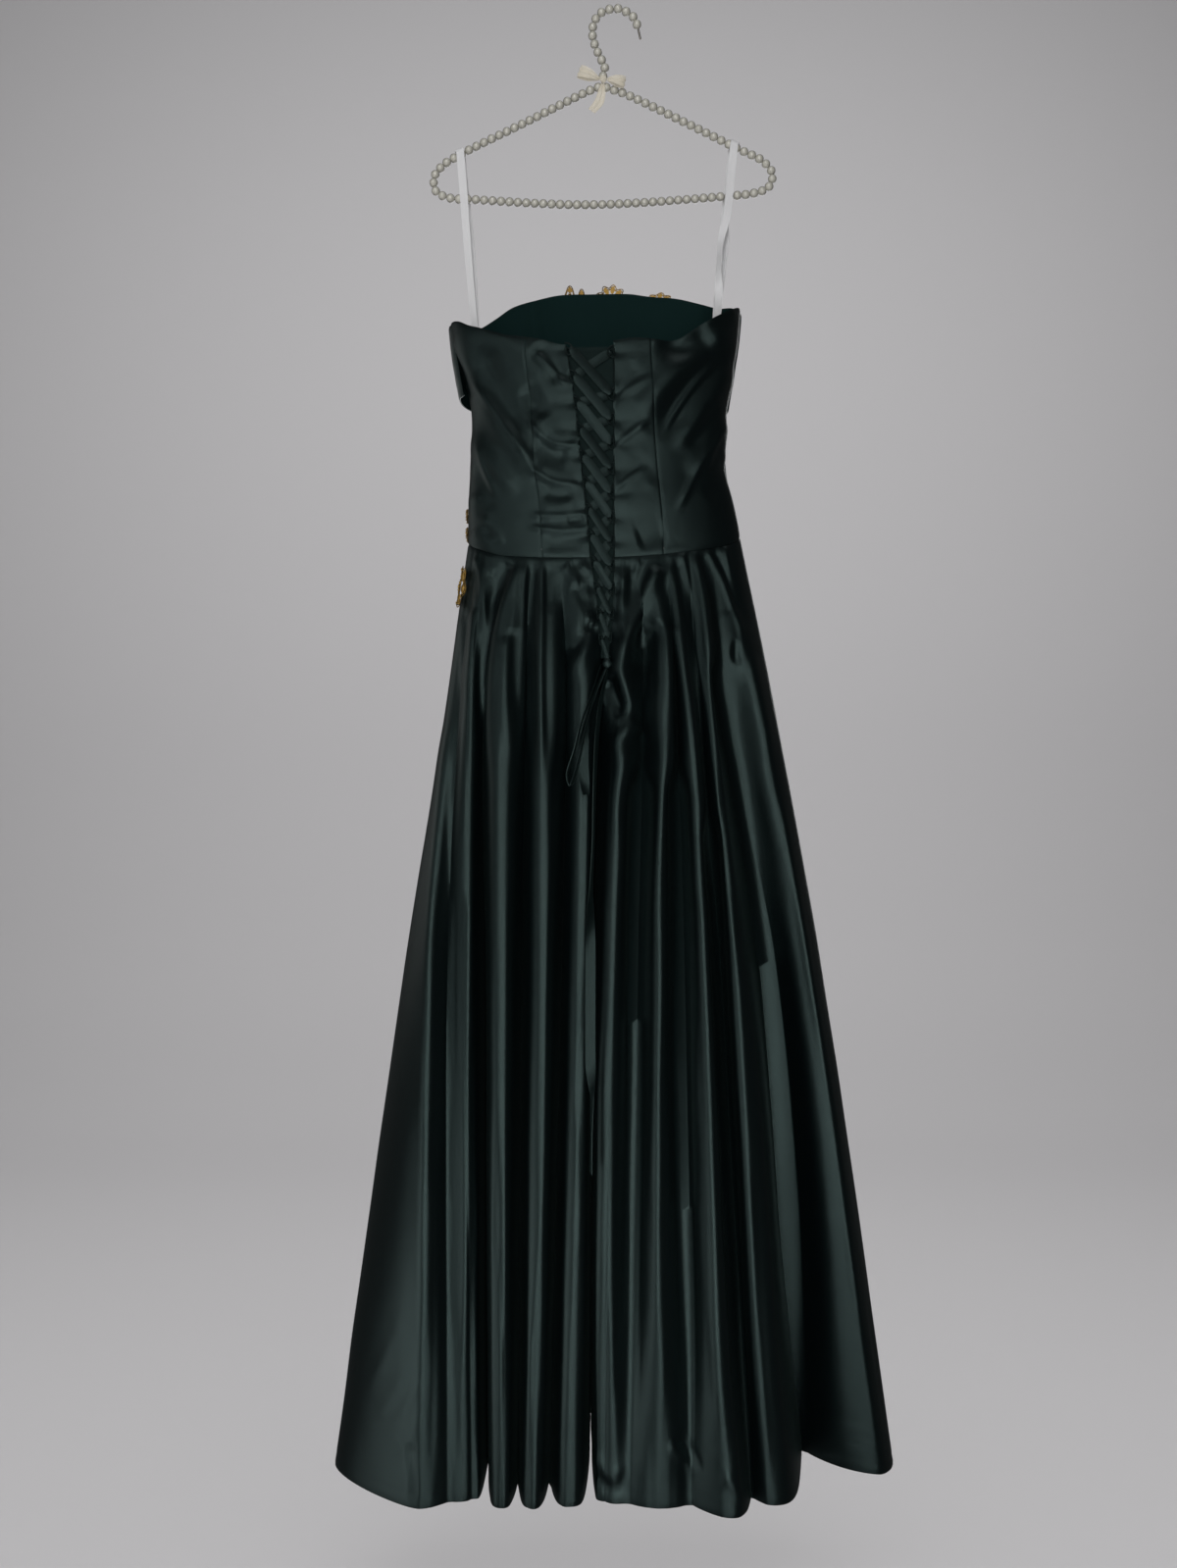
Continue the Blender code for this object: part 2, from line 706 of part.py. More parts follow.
def tube(name, rings, kind, closed=False, ribbon=False):
    """Closed solid through rings of points; an open one is capped at both ends.

    A ribbon's two faces are cut along the same diagonals, so they don't meet where it twists.
    """
    sides = len(rings[0])
    points = [p for ring in rings for p in ring]
    faces = []
    spans = len(rings) if closed else len(rings) - 1
    for j in range(spans):
        low = j * sides
        high = ((j + 1) % len(rings)) * sides
        for i in range(sides):
            k = (i + 1) % sides
            if ribbon and i == 2:
                faces.append((low + i, low + k, high + i))
                faces.append((low + k, high + k, high + i))
                continue
            faces.append((low + i, low + k, high + k))
            faces.append((low + i, high + k, high + i))
    if not closed:
        end = (len(rings) - 1) * sides
        faces.append(tuple(reversed(range(sides))))
        faces.append(tuple(end + i for i in range(sides)))
    return add_node(name, points, faces, kind)


def flat_ring(centre, tangent, radius, sides):
    """Ring of points round a path that stays near one plane of constant y."""
    depth = Vector((0.0, 1.0, 0.0))
    across = tangent.cross(depth).normalized()
    ring = []
    for i in range(sides):
        a = 2.0 * math.pi * (i + 0.5) / sides
        ring.append(centre + across * (radius * math.cos(a)) + depth * (radius * math.sin(a)))
    return ring


def measured(points, closed):
    """Fine points of the smooth curve through points, with their distances along it."""
    fine = 24
    spans = len(points) if closed else len(points) - 1
    path = [along(points, k / fine, closed) for k in range(spans * fine)]
    path.append(points[0].copy() if closed else points[-1].copy())
    run = [0.0]
    for a, b in zip(path, path[1:]):
        run.append(run[-1] + (b - a).length)
    return path, run


def walk(path, run, distance):
    """Point and direction at a distance along a measured path."""
    distance = min(max(distance, 0.0), run[-1])
    k = 0
    while k < len(run) - 2 and run[k + 1] < distance:
        k += 1
    step = path[k + 1] - path[k]
    f = (distance - run[k]) / step.length
    return path[k] + step * f, step.normalized()


def bead_rings(path, run, start, end, pitch):
    """Rings of a string of beads between two distances: a neck, then two shoulders each."""
    rings = []
    count = round((end - start) / pitch)
    pitch = (end - start) / count
    for i in range(count):
        base = start + i * pitch
        for share, radius in ((0.0, CORD_RADIUS), (0.24, BEAD_SHOULDER), (0.76, BEAD_SHOULDER)):
            centre, tangent = walk(path, run, base + share * pitch)
            rings.append(flat_ring(centre, tangent, radius, BEAD_SIDES))
    return rings


def make_hanger():
    outline = [Vector((x, 0.0, z)) for x, z in HANGER_OUTLINE]
    path, run = measured(outline, True)
    tube("hanger_frame", bead_rings(path, run, 0.0, run[-1], BEAD_PITCH), "pearl", closed=True)
    line = [Vector((x, 0.0, z)) for x, z in HOOK_LINE]
    path, run = measured(line, False)
    last_bead = run[-1] - HOOK_BARE_WIRE
    rings = bead_rings(path, run, 0.0, last_bead, BEAD_PITCH)
    for distance in (last_bead, run[-1]):
        centre, tangent = walk(path, run, distance)
        rings.append(flat_ring(centre, tangent, CORD_RADIUS, BEAD_SIDES))
    tube("hanger_hook", rings, "pearl")
    return outline


def strip(name, stations, kind, thickness=RIBBON):
    """Flat ribbon through stations of centre, width direction, face direction and width."""
    rings = []
    for centre, side, face, width in stations:
        w = side.normalized() * (width / 2.0)
        n = face.normalized() * (thickness / 2.0)
        rings.append([centre - w - n, centre + w - n, centre + w + n, centre - w + n])
    return tube(name, rings, kind, ribbon=True)


def path_frames(points, sides, widths):
    """Stations along a path, with faces square to the path and to the width direction."""
    stations = []
    last = len(points) - 1
    for k, centre in enumerate(points):
        tangent = (points[min(k + 1, last)] - points[max(k - 1, 0)]).normalized()
        side = (sides[k] - tangent * sides[k].dot(tangent)).normalized()
        stations.append((centre, side, tangent.cross(side), widths[k]))
    return stations


LOOP_EASE = 0.5
LOOP_TURN_RADIUS = BEAD_RADIUS + LOOP_EASE + RIBBON / 2.0
LOOP_TURN_POINTS = 6
LOOP_STRAND_POINTS = 12
LOOP_END_HALF = 0.75
LOOP_BAR_DROP = 80.0
ARM_LOW_Z = -176.0
TWIST_FROM = 0.3
TWIST_SPAN = 0.55


def arm_height(outline, x):
    """Height of the hanger's upper arm over an x."""
    arms = [p for p in outline if p.z > ARM_LOW_Z]
    arms.sort(key=lambda p: p.x)
    return read_table([(p.x, p.z) for p in arms], x)


def hanger_loop(name, outline, row, twist):
    """Ribbon over the arm and the bar, whose two ends are sewn inside the side back."""
    arm_x, end_x, end_z = row
    arm = Vector((arm_x, 0.0, arm_height(outline, arm_x)))
    lean = arm_height(outline, arm_x + 5.0) - arm_height(outline, arm_x - 5.0)
    arm_side = Vector((10.0, 0.0, lean)).normalized()
    arm_up = arm_side.cross(Vector((0.0, 1.0, 0.0)))
    if arm_up.z < 0.0:
        arm_up = -arm_up
    angle = angle_at(end_x, end_z, True)
    end = bodice_out(angle, end_z, -SATIN - 2.0 * SEAM_GAP - RIBBON / 2.0 - LOOP_END_HALF)
    wall_side = bodice_point(angle + 0.02, end_z) - bodice_point(angle - 0.02, end_z)
    length = (end - arm).length
    strand = []
    for k in range(LOOP_STRAND_POINTS + 1):
        f = k / LOOP_STRAND_POINTS
        below_bar = min(max((f * length - LOOP_BAR_DROP) / (length - LOOP_BAR_DROP), 0.0), 1.0)
        centre = arm.lerp(end, f)
        centre.y = end.y * below_bar ** 1.4
        ease = f * f * (3.0 - 2.0 * f)
        side = arm_side.lerp(wall_side.normalized(), ease)
        turned = min(max((f - TWIST_FROM) / TWIST_SPAN, 0.0), 1.0)
        turn = twist * math.sin(math.pi * turned) ** 2
        along_path = (end - arm).normalized()
        side = side - along_path * side.dot(along_path)
        side.normalize()
        face = along_path.cross(side)
        side, face = (
            side * math.cos(turn) + face * math.sin(turn),
            face * math.cos(turn) - side * math.sin(turn),
        )
        slack = min(max((f * length - LOOP_BAR_DROP) / (length * 0.9 - LOOP_BAR_DROP), 0.0), 1.0)
        half = LOOP_TURN_RADIUS + (LOOP_END_HALF - LOOP_TURN_RADIUS) * slack
        strand.append((centre, side, face, half))
    front = Vector((0.0, -1.0, 0.0))
    stations = []
    for centre, side, face, half in reversed(strand):
        facing = face if face.y < 0.0 else -face
        stations.append((centre + facing * half, side, facing, LOOP_WIDTH))
    for k in range(1, LOOP_TURN_POINTS):
        a = math.pi * k / LOOP_TURN_POINTS
        out = front * math.cos(a) + arm_up * math.sin(a)
        stations.append((arm + out * LOOP_TURN_RADIUS, arm_side, out, LOOP_WIDTH))
    for centre, side, face, half in strand:
        facing = face if face.y > 0.0 else -face
        stations.append((centre + facing * half, side, facing, LOOP_WIDTH))
    strip(name, stations, "white_ribbon")


BOW_Y = -7.7
BOW_RIBBON = 0.6
BOW_KNOT_HALF = Vector((4.2, 3.0, 4.6))

# Loops of the small bow: name, reach to the side, rise, width
BOW_LOOPS = (
    ("hanger_bow_left", -23.0, 9.0, 13.0),
    ("hanger_bow_right", 20.0, -4.0, 12.0),
)
# Its tail: x, y before the knot's, height, width
BOW_TAIL = (
    (-15.2, 0.0, -84.2, 4.0),
    (-16.4, 0.4, -94.0, 9.0),
    (-19.5, 0.0, -105.0, 11.0),
    (-28.0, -1.0, -116.0, 9.0),
)


def ball(name, centre, radii, kind, sides=8, rings=5):
    """Rounded lump with the given half sizes."""
    points = [centre + Vector((0.0, 0.0, radii.z)), centre - Vector((0.0, 0.0, radii.z))]
    faces = []
    for j in range(1, rings):
        a = math.pi * j / rings
        for i in range(sides):
            b = 2.0 * math.pi * i / sides
            out = Vector((math.sin(a) * math.cos(b), math.sin(a) * math.sin(b), math.cos(a)))
            points.append(centre + Vector((out.x * radii.x, out.y * radii.y, out.z * radii.z)))
    last = 2 + (rings - 2) * sides
    for i in range(sides):
        k = (i + 1) % sides
        faces.append((0, 2 + i, 2 + k))
        faces.append((1, last + k, last + i))
        for j in range(rings - 2):
            a = 2 + j * sides
            faces.append((a + i, a + sides + i, a + sides + k))
            faces.append((a + i, a + sides + k, a + k))
    return add_node(name, points, faces, kind)


def make_hanger_bow():
    """Small sheer bow in front of the hanger's neck: a knot, two loops and one tail."""
    knot = Vector((-14.6, BOW_Y, -79.0))
    ball("hanger_bow_knot", knot, BOW_KNOT_HALF, "sheer")
    out = Vector((0.0, 1.0, 0.0))
    for name, reach, rise, width in BOW_LOOPS:
        side = math.copysign(1.0, reach)
        start = knot + Vector((side * (BOW_KNOT_HALF.x + 0.5), 0.0, 0.0))
        tip = start + Vector((reach, 0.0, rise))
        near = start.lerp(tip, 0.45)
        far = start.lerp(tip, 0.85)
        front = [start - out * 0.6, near - out * 3.6, far - out * 2.6]
        back = [far + out * 2.2, near + out * 2.6, start + out * 0.6]
        points = front + [tip] + back
        widths = [3.5, width * 0.8, width, width * 1.05, width, width * 0.8, 3.5]
        up = Vector((-rise, 0.0, reach)).normalized()
        strip(name, path_frames(points, [up] * 7, widths), "sheer", BOW_RIBBON)
    tail = [Vector((x, BOW_Y + y, z)) for x, y, z, _ in BOW_TAIL]
    across = [Vector((1.0, 0.0, 0.0))] * len(tail)
    widths = [row[3] for row in BOW_TAIL]
    strip("hanger_bow_tail", path_frames(tail, across, widths), "sheer", BOW_RIBBON)


def left_loop_z(k):
    return LEFT_LOOP_Z - LEFT_LOOP_PITCH * k


def right_loop_z(k):
    return RIGHT_FIRST_Z if k < 0 else RIGHT_LOOP_Z - RIGHT_LOOP_PITCH * k


def loop_reach(z):
    """How far the cord loops stand out of the laced edges, less where the opening narrows."""
    gap = read_table(PLACKET, z, 2) - read_table(PLACKET, z, 1)
    return min(max(0.3 * gap, CORD_LOOP_SHORT), CORD_LOOP_LONG)


def make_cord_loops(name, column, heights):
    """Row of cord loops along one laced edge, made as one scalloped cord."""
    side = 1.0 if column == 1 else -1.0
    points = []
    for z in heights:
        reach = loop_reach(z)
        tall = min(7.0, 4.0 + reach * 0.5)
        shape = ((0.0, 1.0), (1.0, 0.42), (1.0, -0.42), (0.0, -1.0))
        for out, up in shape:
            place = z + up * tall
            edge = read_table(PLACKET, place, column)
            root = CORD_LOOP_CLEAR + CORD_LOOP_RADIUS
            x = edge + side * (root + (reach - root) * out)
            points.append(skin(x, place, CORD_LOOP_DEPTH))
    rings = []
    last = len(points) - 1
    for k, centre in enumerate(points):
        tangent = points[min(k + 1, last)] - points[max(k - 1, 0)]
        rings.append(flat_ring(centre, tangent, CORD_LOOP_RADIUS * 1.2, 4))
    tube(name, rings, "lace_ribbon")


def turn_inset(z):
    """How far inside the laced edges the ribbon turns."""
    wide = (loop_reach(z) - CORD_LOOP_SHORT) / (CORD_LOOP_LONG - CORD_LOOP_SHORT)
    return TURN_INSET + (TURN_INSET_WIDE - TURN_INSET) * wide


def lace_turn(z, column, going_under, sides):
    """Three stations where the ribbon turns through a cord loop, between the two layers."""
    side = 1.0 if column == 1 else -1.0
    x = read_table(PLACKET, z, column) + side * turn_inset(z)
    over = skin(x, z, CORD_LOOP_DEPTH - LACE_LAYER)
    outer = skin(x - side * LACE_LAYER, z, CORD_LOOP_DEPTH)
    under = skin(x, z, CORD_LOOP_DEPTH + LACE_LAYER)
    turn = [over, outer, under] if going_under else [under, outer, over]
    middle = (sides[0] + sides[1]).normalized()
    return list(zip(turn, (sides[0], middle, sides[1])))


def lace_side(start, end):
    """Width direction of a strip, square to its run and pointing up."""
    run = end - start
    side = Vector((-run.z, 0.0, run.x)).normalized()
    return side if side.z > 0.0 else -side


def make_lacing(name, first_strip, starts_under):
    """One ribbon of the lacing: strips on top run down to the right, strips below come back."""
    stops = []
    if starts_under:
        stops.append((2, -1))
    for k in range(first_strip, TOP_STRIPS, 2):
        stops.append((1, k))
        stops.append((2, k))
    places = []
    for column, k in stops:
        z = left_loop_z(k) if column == 1 else right_loop_z(k)
        side = 1.0 if column == 1 else -1.0
        x = read_table(PLACKET, z, column) + side * turn_inset(z)
        places.append(Vector((x, 0.0, z)))
    sides = [lace_side(a, b) for a, b in zip(places, places[1:])]
    centres = []
    directions = []
    widths = []
    last = len(stops) - 1
    for n, (column, k) in enumerate(stops):
        before = sides[max(n - 1, 0)]
        after = sides[min(n, last - 1)]
        turn_width = max(2.2, 5.0 * before.z)
        turn = lace_turn(places[n].z, column, column == 2, (before, after))
        for centre, direction in turn[:1] if n == last else turn:
            centres.append(centre)
            directions.append(direction)
            widths.append(turn_width)
        if n == last:
            break
        depth = CORD_LOOP_DEPTH + (LACE_LAYER if column == 2 else -LACE_LAYER)
        width = min(LACE_WIDTH, 0.62 * LEFT_LOOP_PITCH * sides[n].z)
        width = max(width, 3.0)
        for f in (0.28, 0.72):
            spot = places[n].lerp(places[n + 1], f)
            centres.append(skin(spot.x, spot.z, depth))
            directions.append(sides[n])
            widths.append(width)
    first = 1 if stops[0][0] == 2 else 0
    stations = path_frames(centres[first:], directions[first:], widths[first:])
    strip(name, stations, "lace_ribbon")


KNOT_CENTRE_X = -10.8
KNOT_CENTRE_Z = -748.4
KNOT_HALF = Vector((6.2, 3.6, 6.2))
KNOT_GAP = 0.15
TAIL_WIDTH = 11.0

# Free ends of the lacing: x, y, height, turn of the ribbon's face about the vertical
LONG_TAIL = (
    (-9.8, -63.9, -755.9, 60.0),
    (-17.0, -74.0, -785.0, 50.0),
    (-22.4, -82.0, -830.0, 50.0),
    (-25.1, -86.0, -884.0, 52.0),
    (-26.2, -87.0, -943.0, 48.0),
    (-28.6, -88.0, -990.0, 60.0),
    (-29.4, -88.5, -1030.0, 30.0),
    (-29.3, -88.5, -1063.0, 2.0),
    (-29.2, -89.0, -1177.0, -4.0),
    (-27.8, -89.5, -1213.0, -70.0),
    (-28.4, -90.0, -1255.0, -82.0),
    (-29.0, -90.5, -1296.0, -78.0),
)
SHORT_TAIL = (
    (-12.8, -67.0, -754.4, 20.0),
    (-24.0, -79.0, -782.0, 40.0),
    (-33.2, -86.0, -811.0, 50.0),
    (-36.2, -89.0, -833.0, 20.0),
    (-37.0, -90.0, -853.0, 0.0),
    (-36.0, -90.5, -873.0, 10.0),
    (-34.0, -91.0, -891.0, 35.0),
)
BOW_LOOP_DOWN = (
    (-17.6, -65.5, -750.0, 85.0),
    (-28.5, -85.0, -784.0, 80.0),
    (-39.0, -97.0, -815.0, 78.0),
    (-46.5, -100.0, -845.0, 78.0),
    (-53.5, -100.5, -870.0, 74.0),
)
BOW_LOOP_TIP = (-50.5, -100.5, -881.0, 72.0)
BOW_LOOP_UP = (
    (-45.0, -100.5, -868.0, 72.0),
    (-39.0, -99.5, -843.0, 76.0),
    (-31.6, -95.0, -806.0, 78.0),
)


def tail_strip(name, rows, widths, per_row=3):
    """Hanging ribbon through rows of x, y, height and face turn, on one smooth curve."""
    points = [Vector(row[:3]) for row in rows]
    centres = []
    sides = []
    sizes = []
    count = (len(rows) - 1) * per_row
    for k in range(count + 1):
        place = k / per_row
        i = min(int(place), len(rows) - 2)
        f = place - i
        turn = math.radians(rows[i][3] * (1.0 - f) + rows[i + 1][3] * f)
        centres.append(along(points, place))
        sides.append(Vector((math.cos(turn), math.sin(turn), 0.0)))
        sizes.append(widths[i] * (1.0 - f) + widths[i + 1] * f)
    strip(name, path_frames(centres, sides, sizes), "lace_ribbon")


def make_lace_ends():
    depth = CORD_LOOP_DEPTH - LACE_LAYER - RIBBON / 2.0 - KNOT_GAP - KNOT_HALF.y
    knot = skin(KNOT_CENTRE_X, KNOT_CENTRE_Z, depth)
    ball("lace_knot", knot, KNOT_HALF, "lace_ribbon")
    full = TAIL_WIDTH
    tail_strip("lace_tail_long", LONG_TAIL, [5.0, 8.0] + [full] * (len(LONG_TAIL) - 2))
    tail_strip("lace_tail_short", SHORT_TAIL, [4.0, 6.0, 7.0, full, full, full, 9.0])
    loop_rows = BOW_LOOP_DOWN + (BOW_LOOP_TIP,) + BOW_LOOP_UP
    tail_strip("lace_bow_loop", loop_rows, [4.0, 6.0, 7.0, 8.0, 8.0, 8.0, 8.0, 7.0, 6.0], 2)


# Gold lace motifs: name, place, height, half width, half height, scallops, turn. The place
# is an x on the neckline, or degrees round the bodice at the hip
NECKLINE_MOTIFS = (
    ("neckline_lace_1", -54.0, -286.0, 7.0, 13.0, 3, 0.4),
    ("neckline_lace_2", -40.0, -291.0, 6.0, 15.0, 3, 1.2),
    ("neckline_lace_3", -4.0, -290.0, 19.0, 19.0, 6, 0.2),
    ("neckline_lace_4", 50.0, -293.0, 15.0, 11.0, 4, 0.9),
)
BODICE_HIP_MOTIFS = (
    ("hip_lace_1", 176.0, -573.0, 9.0, 8.0, 4, 0.3),
    ("hip_lace_2", 172.0, -594.0, 12.0, 9.0, 5, 0.8),
)
# The same on the skirt, with its place from waist to hem in the height column
SKIRT_HIP_MOTIF = ("hip_lace_3", 0.045, 22.0, 25.0, 6, 0.5)
MOTIF_STEPS = 16
MOTIF_THICKNESS = 1.4


def lace_motif(name, place_at, half_width, half_height, scallops, turn):
    """Scalloped flower or leaf; place_at makes a point of a step across, one up and a depth."""
    rings = []
    for share in (0.5, 1.0):
        ring = []
        for k in range(MOTIF_STEPS):
            a = 2.0 * math.pi * k / MOTIF_STEPS
            reach = share * (1.0 + 0.22 * math.cos(scallops * a + turn)) / 1.22
            ring.append((half_width * reach * math.cos(a), half_height * reach * math.sin(a)))
        rings.append(ring)
    points = []
    for depth in (MOTIF_THICKNESS, 0.0):
        points.append(place_at(0.0, 0.0, depth))
        for ring in rings:
            points.extend(place_at(x, z, depth) for x, z in ring)
    shift = 1 + 2 * MOTIF_STEPS
    faces = []
    for k in range(MOTIF_STEPS):
        a = 1 + k
        b = 1 + (k + 1) % MOTIF_STEPS
        c = a + MOTIF_STEPS
        d = b + MOTIF_STEPS
        faces.extend([(0, a, b), (a, c, d), (a, d, b)])
        faces.append((shift, b + shift, a + shift))
        faces.append((a + shift, d + shift, c + shift))
        faces.append((a + shift, b + shift, d + shift))
        faces.extend([(c, c + shift, d + shift), (c, d + shift, d)])
    add_node(name, points, faces, "gold")


def make_gold_lace():
    for name, x0, z0, half_width, half_height, scallops, turn in NECKLINE_MOTIFS:

        def on_band(x, z, depth, x0=x0, z0=z0):
            angle = angle_at(x0 - x, z0, False)
            return bodice_out(angle, z0 + z, band_outside(angle, z0 + z) + LAYER_GAP + depth)

        lace_motif(name, on_band, half_width, half_height, scallops, turn)
    for name, degrees, z0, half_width, half_height, scallops, turn in BODICE_HIP_MOTIFS:

        def on_bodice(x, z, depth, degrees=degrees, z0=z0):
            angle = math.radians(degrees) + x / 52.0
            return bodice_out(angle, z0 + z, LAYER_GAP + depth)

        lace_motif(name, on_bodice, half_width, half_height, scallops, turn)
    name, t0, half_width, half_height, scallops, turn = SKIRT_HIP_MOTIF

    def on_skirt(x, z, depth):
        s = LEFT_SEAM - 0.2 + x / 42.0
        t = t0 - z / (WAIST_BACK_Z - HEM_Z)
        return skirt_out(s, t, LAYER_GAP + depth)

    lace_motif(name, on_skirt, half_width, half_height, scallops, turn)


def main():
    clear_scene()
    outline = make_hanger()
    make_hanger_bow()
    hanger_loop("hanger_loop_left", outline, LOOP_LEFT, 0.0)
    hanger_loop("hanger_loop_right", outline, LOOP_RIGHT, math.radians(62.0))
    make_bodice()
    make_front_lining()
    make_bust_band()
    make_modesty_panel()
    make_cord_loops("lace_loops_left", 1, [left_loop_z(k) for k in range(TOP_STRIPS)])
    make_cord_loops("lace_loops_right", 2, [right_loop_z(k) for k in range(-1, TOP_STRIPS)])
    make_lacing("lacing_first", 0, False)
    make_lacing("lacing_second", 1, True)
    make_lace_ends()
    make_skirt()
    make_gold_lace()


main()
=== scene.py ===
# %% [markdown]
# # A-line prom dress on a beaded hanger
#
# This notebook dresses a plain solid model of a strapless satin gown. The gown hangs by two
# ribbon loops from a hanger of pearl beads, and its laced back faces the camera. Each cell
# first says what a piece is on the real dress, and then makes it. All numbers are in
# millimetres until a mesh is made, because a dressmaker thinks in millimetres too.

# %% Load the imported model
import math

import bpy
import numpy as np
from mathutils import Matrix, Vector


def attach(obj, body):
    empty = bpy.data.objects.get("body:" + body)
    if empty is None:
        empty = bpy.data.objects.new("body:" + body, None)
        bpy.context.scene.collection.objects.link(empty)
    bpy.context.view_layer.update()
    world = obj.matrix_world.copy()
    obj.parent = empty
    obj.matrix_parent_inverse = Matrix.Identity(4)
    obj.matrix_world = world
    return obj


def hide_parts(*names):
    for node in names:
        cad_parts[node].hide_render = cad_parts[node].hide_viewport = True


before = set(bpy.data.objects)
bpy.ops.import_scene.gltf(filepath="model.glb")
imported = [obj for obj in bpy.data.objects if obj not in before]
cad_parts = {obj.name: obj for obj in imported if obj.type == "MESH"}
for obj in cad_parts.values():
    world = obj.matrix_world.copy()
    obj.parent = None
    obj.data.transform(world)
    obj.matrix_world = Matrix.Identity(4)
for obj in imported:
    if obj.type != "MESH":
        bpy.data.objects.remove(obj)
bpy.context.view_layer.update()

MM = 0.001
print("nodes to dress:", len(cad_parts))

# %% [markdown]
# ## Camera
#
# The dress hangs in front of a phone camera that is about 1.4 m away and as high as the hips.
# A lens of 28 mm on a 36 mm long side gives the same view. The camera is level, so upright
# folds stay upright in the picture.

# %% Camera
EYE = (-31.36, -1400.0, -879.76)
LENS = 28.14

lens = bpy.data.cameras.new("camera")
lens.lens = LENS
lens.sensor_width = 36.0
lens.clip_start = 0.05
lens.clip_end = 50.0
camera = bpy.data.objects.new("camera", lens)
camera.location = Vector(EYE) * MM
camera.rotation_euler = (math.radians(90.0), 0.0, 0.0)
bpy.context.scene.collection.objects.link(camera)
bpy.context.scene.camera = camera
print("camera at", [round(v, 3) for v in camera.location])

# %% [markdown]
# ## The pattern
#
# The tables below are the dress's pattern: how wide and deep the bodice is at each height,
# where its seams run, and where each pleat of the skirt starts and ends. The solid model was
# cut from the same tables, so the finished cloth lies on its own solid.

# %% Pattern of the bodice
SATIN = 1.5
SEAM_GAP = 0.3
LAYER_GAP = 0.8
WAIST_GAP = 0.4
WAIST_BACK_Z = -629.0
HIP_Z = -773.0
KNEE_Z = -1092.0
HEM_Z = -1655.0

# Columns: height, left edge, right edge, depth of the back, depth of the front
BODICE_SECTIONS = (
    (-640.0, -169.0, 144.0, 52.0, 52.0),
    (-600.0, -168.4, 141.5, 52.0, 53.0),
    (-567.0, -168.0, 135.5, 53.0, 58.0),
    (-522.0, -166.6, 126.0, 54.5, 70.0),
    (-460.0, -164.5, 126.0, 58.0, 90.0),
    (-415.0, -171.0, 133.0, 60.0, 101.0),
    (-370.0, -180.0, 139.5, 61.0, 104.0),
    (-340.0, -182.0, 141.7, 61.0, 103.0),
    (-275.0, -178.0, 140.0, 61.0, 98.0),
)
SECTION_POWER = 2.35

# Waist seam round the body, in degrees from the right side over the front, and its height
WAIST_SEAM = (
    (0.0, -597.0), (45.0, -600.0), (90.0, -601.0), (135.0, -603.0), (180.0, -606.0),
    (205.0, -616.0), (230.0, -627.0), (270.0, -630.0), (300.0, -623.0), (330.0, -612.0),
    (360.0, -597.0),
)
# Neckline: x, height
BACK_TOP = (
    (-182.0, -357.0), (-172.0, -362.0), (-162.5, -369.0), (-151.0, -374.0), (-136.0, -380.0),
    (-121.0, -385.4), (-109.0, -387.5), (-84.0, -392.0),
    (-57.0, -399.0), (-6.0, -395.0), (18.0, -391.0), (65.0, -391.0), (91.0, -374.0),
    (115.0, -358.0), (141.7, -340.0),
)
FRONT_TOP = (
    (-182.0, -356.0), (-172.0, -347.0), (-160.0, -337.0), (-143.0, -321.0), (-123.0, -303.5),
    (-95.0, -291.5), (-66.0, -283.5), (-30.0, -281.6), (17.0, -281.6), (42.0, -286.0),
    (76.0, -292.0), (104.0, -304.0), (125.0, -316.5), (135.0, -322.0), (140.0, -330.0),
    (141.7, -340.0),
)
# Shaping seams: height, x
BACK_SEAM_LEFT = (
    (-640.0, -82.0), (-567.0, -86.4), (-540.0, -90.5), (-475.0, -94.7), (-409.0, -101.0),
)
BACK_SEAM_RIGHT = ((-640.0, 52.0), (-588.0, 50.5), (-509.0, 42.7), (-395.0, 37.2))
FRONT_SEAM_LEFT = ((-640.0, -84.0), (-520.0, -92.0), (-400.0, -108.0), (-290.0, -112.0))
FRONT_SEAM_RIGHT = ((-640.0, 22.0), (-520.0, 26.0), (-400.0, 24.0), (-290.0, 19.0))
# Open back between the laced edges: height, left edge, right edge
PLACKET = (
    (-773.0, -16.2, -15.8), (-764.0, -16.4, -15.2), (-750.0, -17.6, -8.6),
    (-731.0, -18.6, -7.4), (-680.0, -22.8, -3.8), (-628.0, -29.2, -3.5),
    (-570.0, -34.6, -3.6), (-514.0, -41.0, -3.6), (-462.0, -46.5, -3.7),
    (-390.0, -57.5, -3.7),
)
print("bodice sections:", len(BODICE_SECTIONS), "from", BODICE_SECTIONS[0][0], "up")

# %% Pattern of the skirt
# Columns: name, x at the waist, x and y at the hip, at the knee and at the hem
BACK_RIGHT_FOLDS = (
    ("ridge_8", 9.6, 8.3, -72.0, -4.9, -76.0, -13.4, -76.0),
    ("valley_8", 24.7, 28.7, -58.0, 20.0, -62.0, 14.0, -82.0),
    ("ridge_9b", 37.7, 53.3, -74.0, 45.6, -82.0, 46.4, -90.0),
    ("valley_9", 51.7, 64.0, -60.0, 72.2, -66.0, 80.1, -84.0),
    ("ridge_9", 61.4, 75.8, -73.0, 95.8, -86.0, 120.0, -106.0),
    ("valley_10", 76.5, 88.7, -57.0, 114.2, -60.0, 146.0, -70.0),
    ("ridge_11", 89.4, 102.6, -67.0, 128.7, -84.0, 168.0, -84.0),
    ("valley_11", 104.5, 121.0, -47.0, 171.7, -30.0, 218.0, 24.0),
    ("ridge_13", 123.9, 156.0, -40.0, 214.0, -44.0, 296.0, -24.0),
)
RIGHT_SIDE = ("right_side", 144.0, 177.0, 0.0, 233.7, 0.0, 317.0, 0.0)
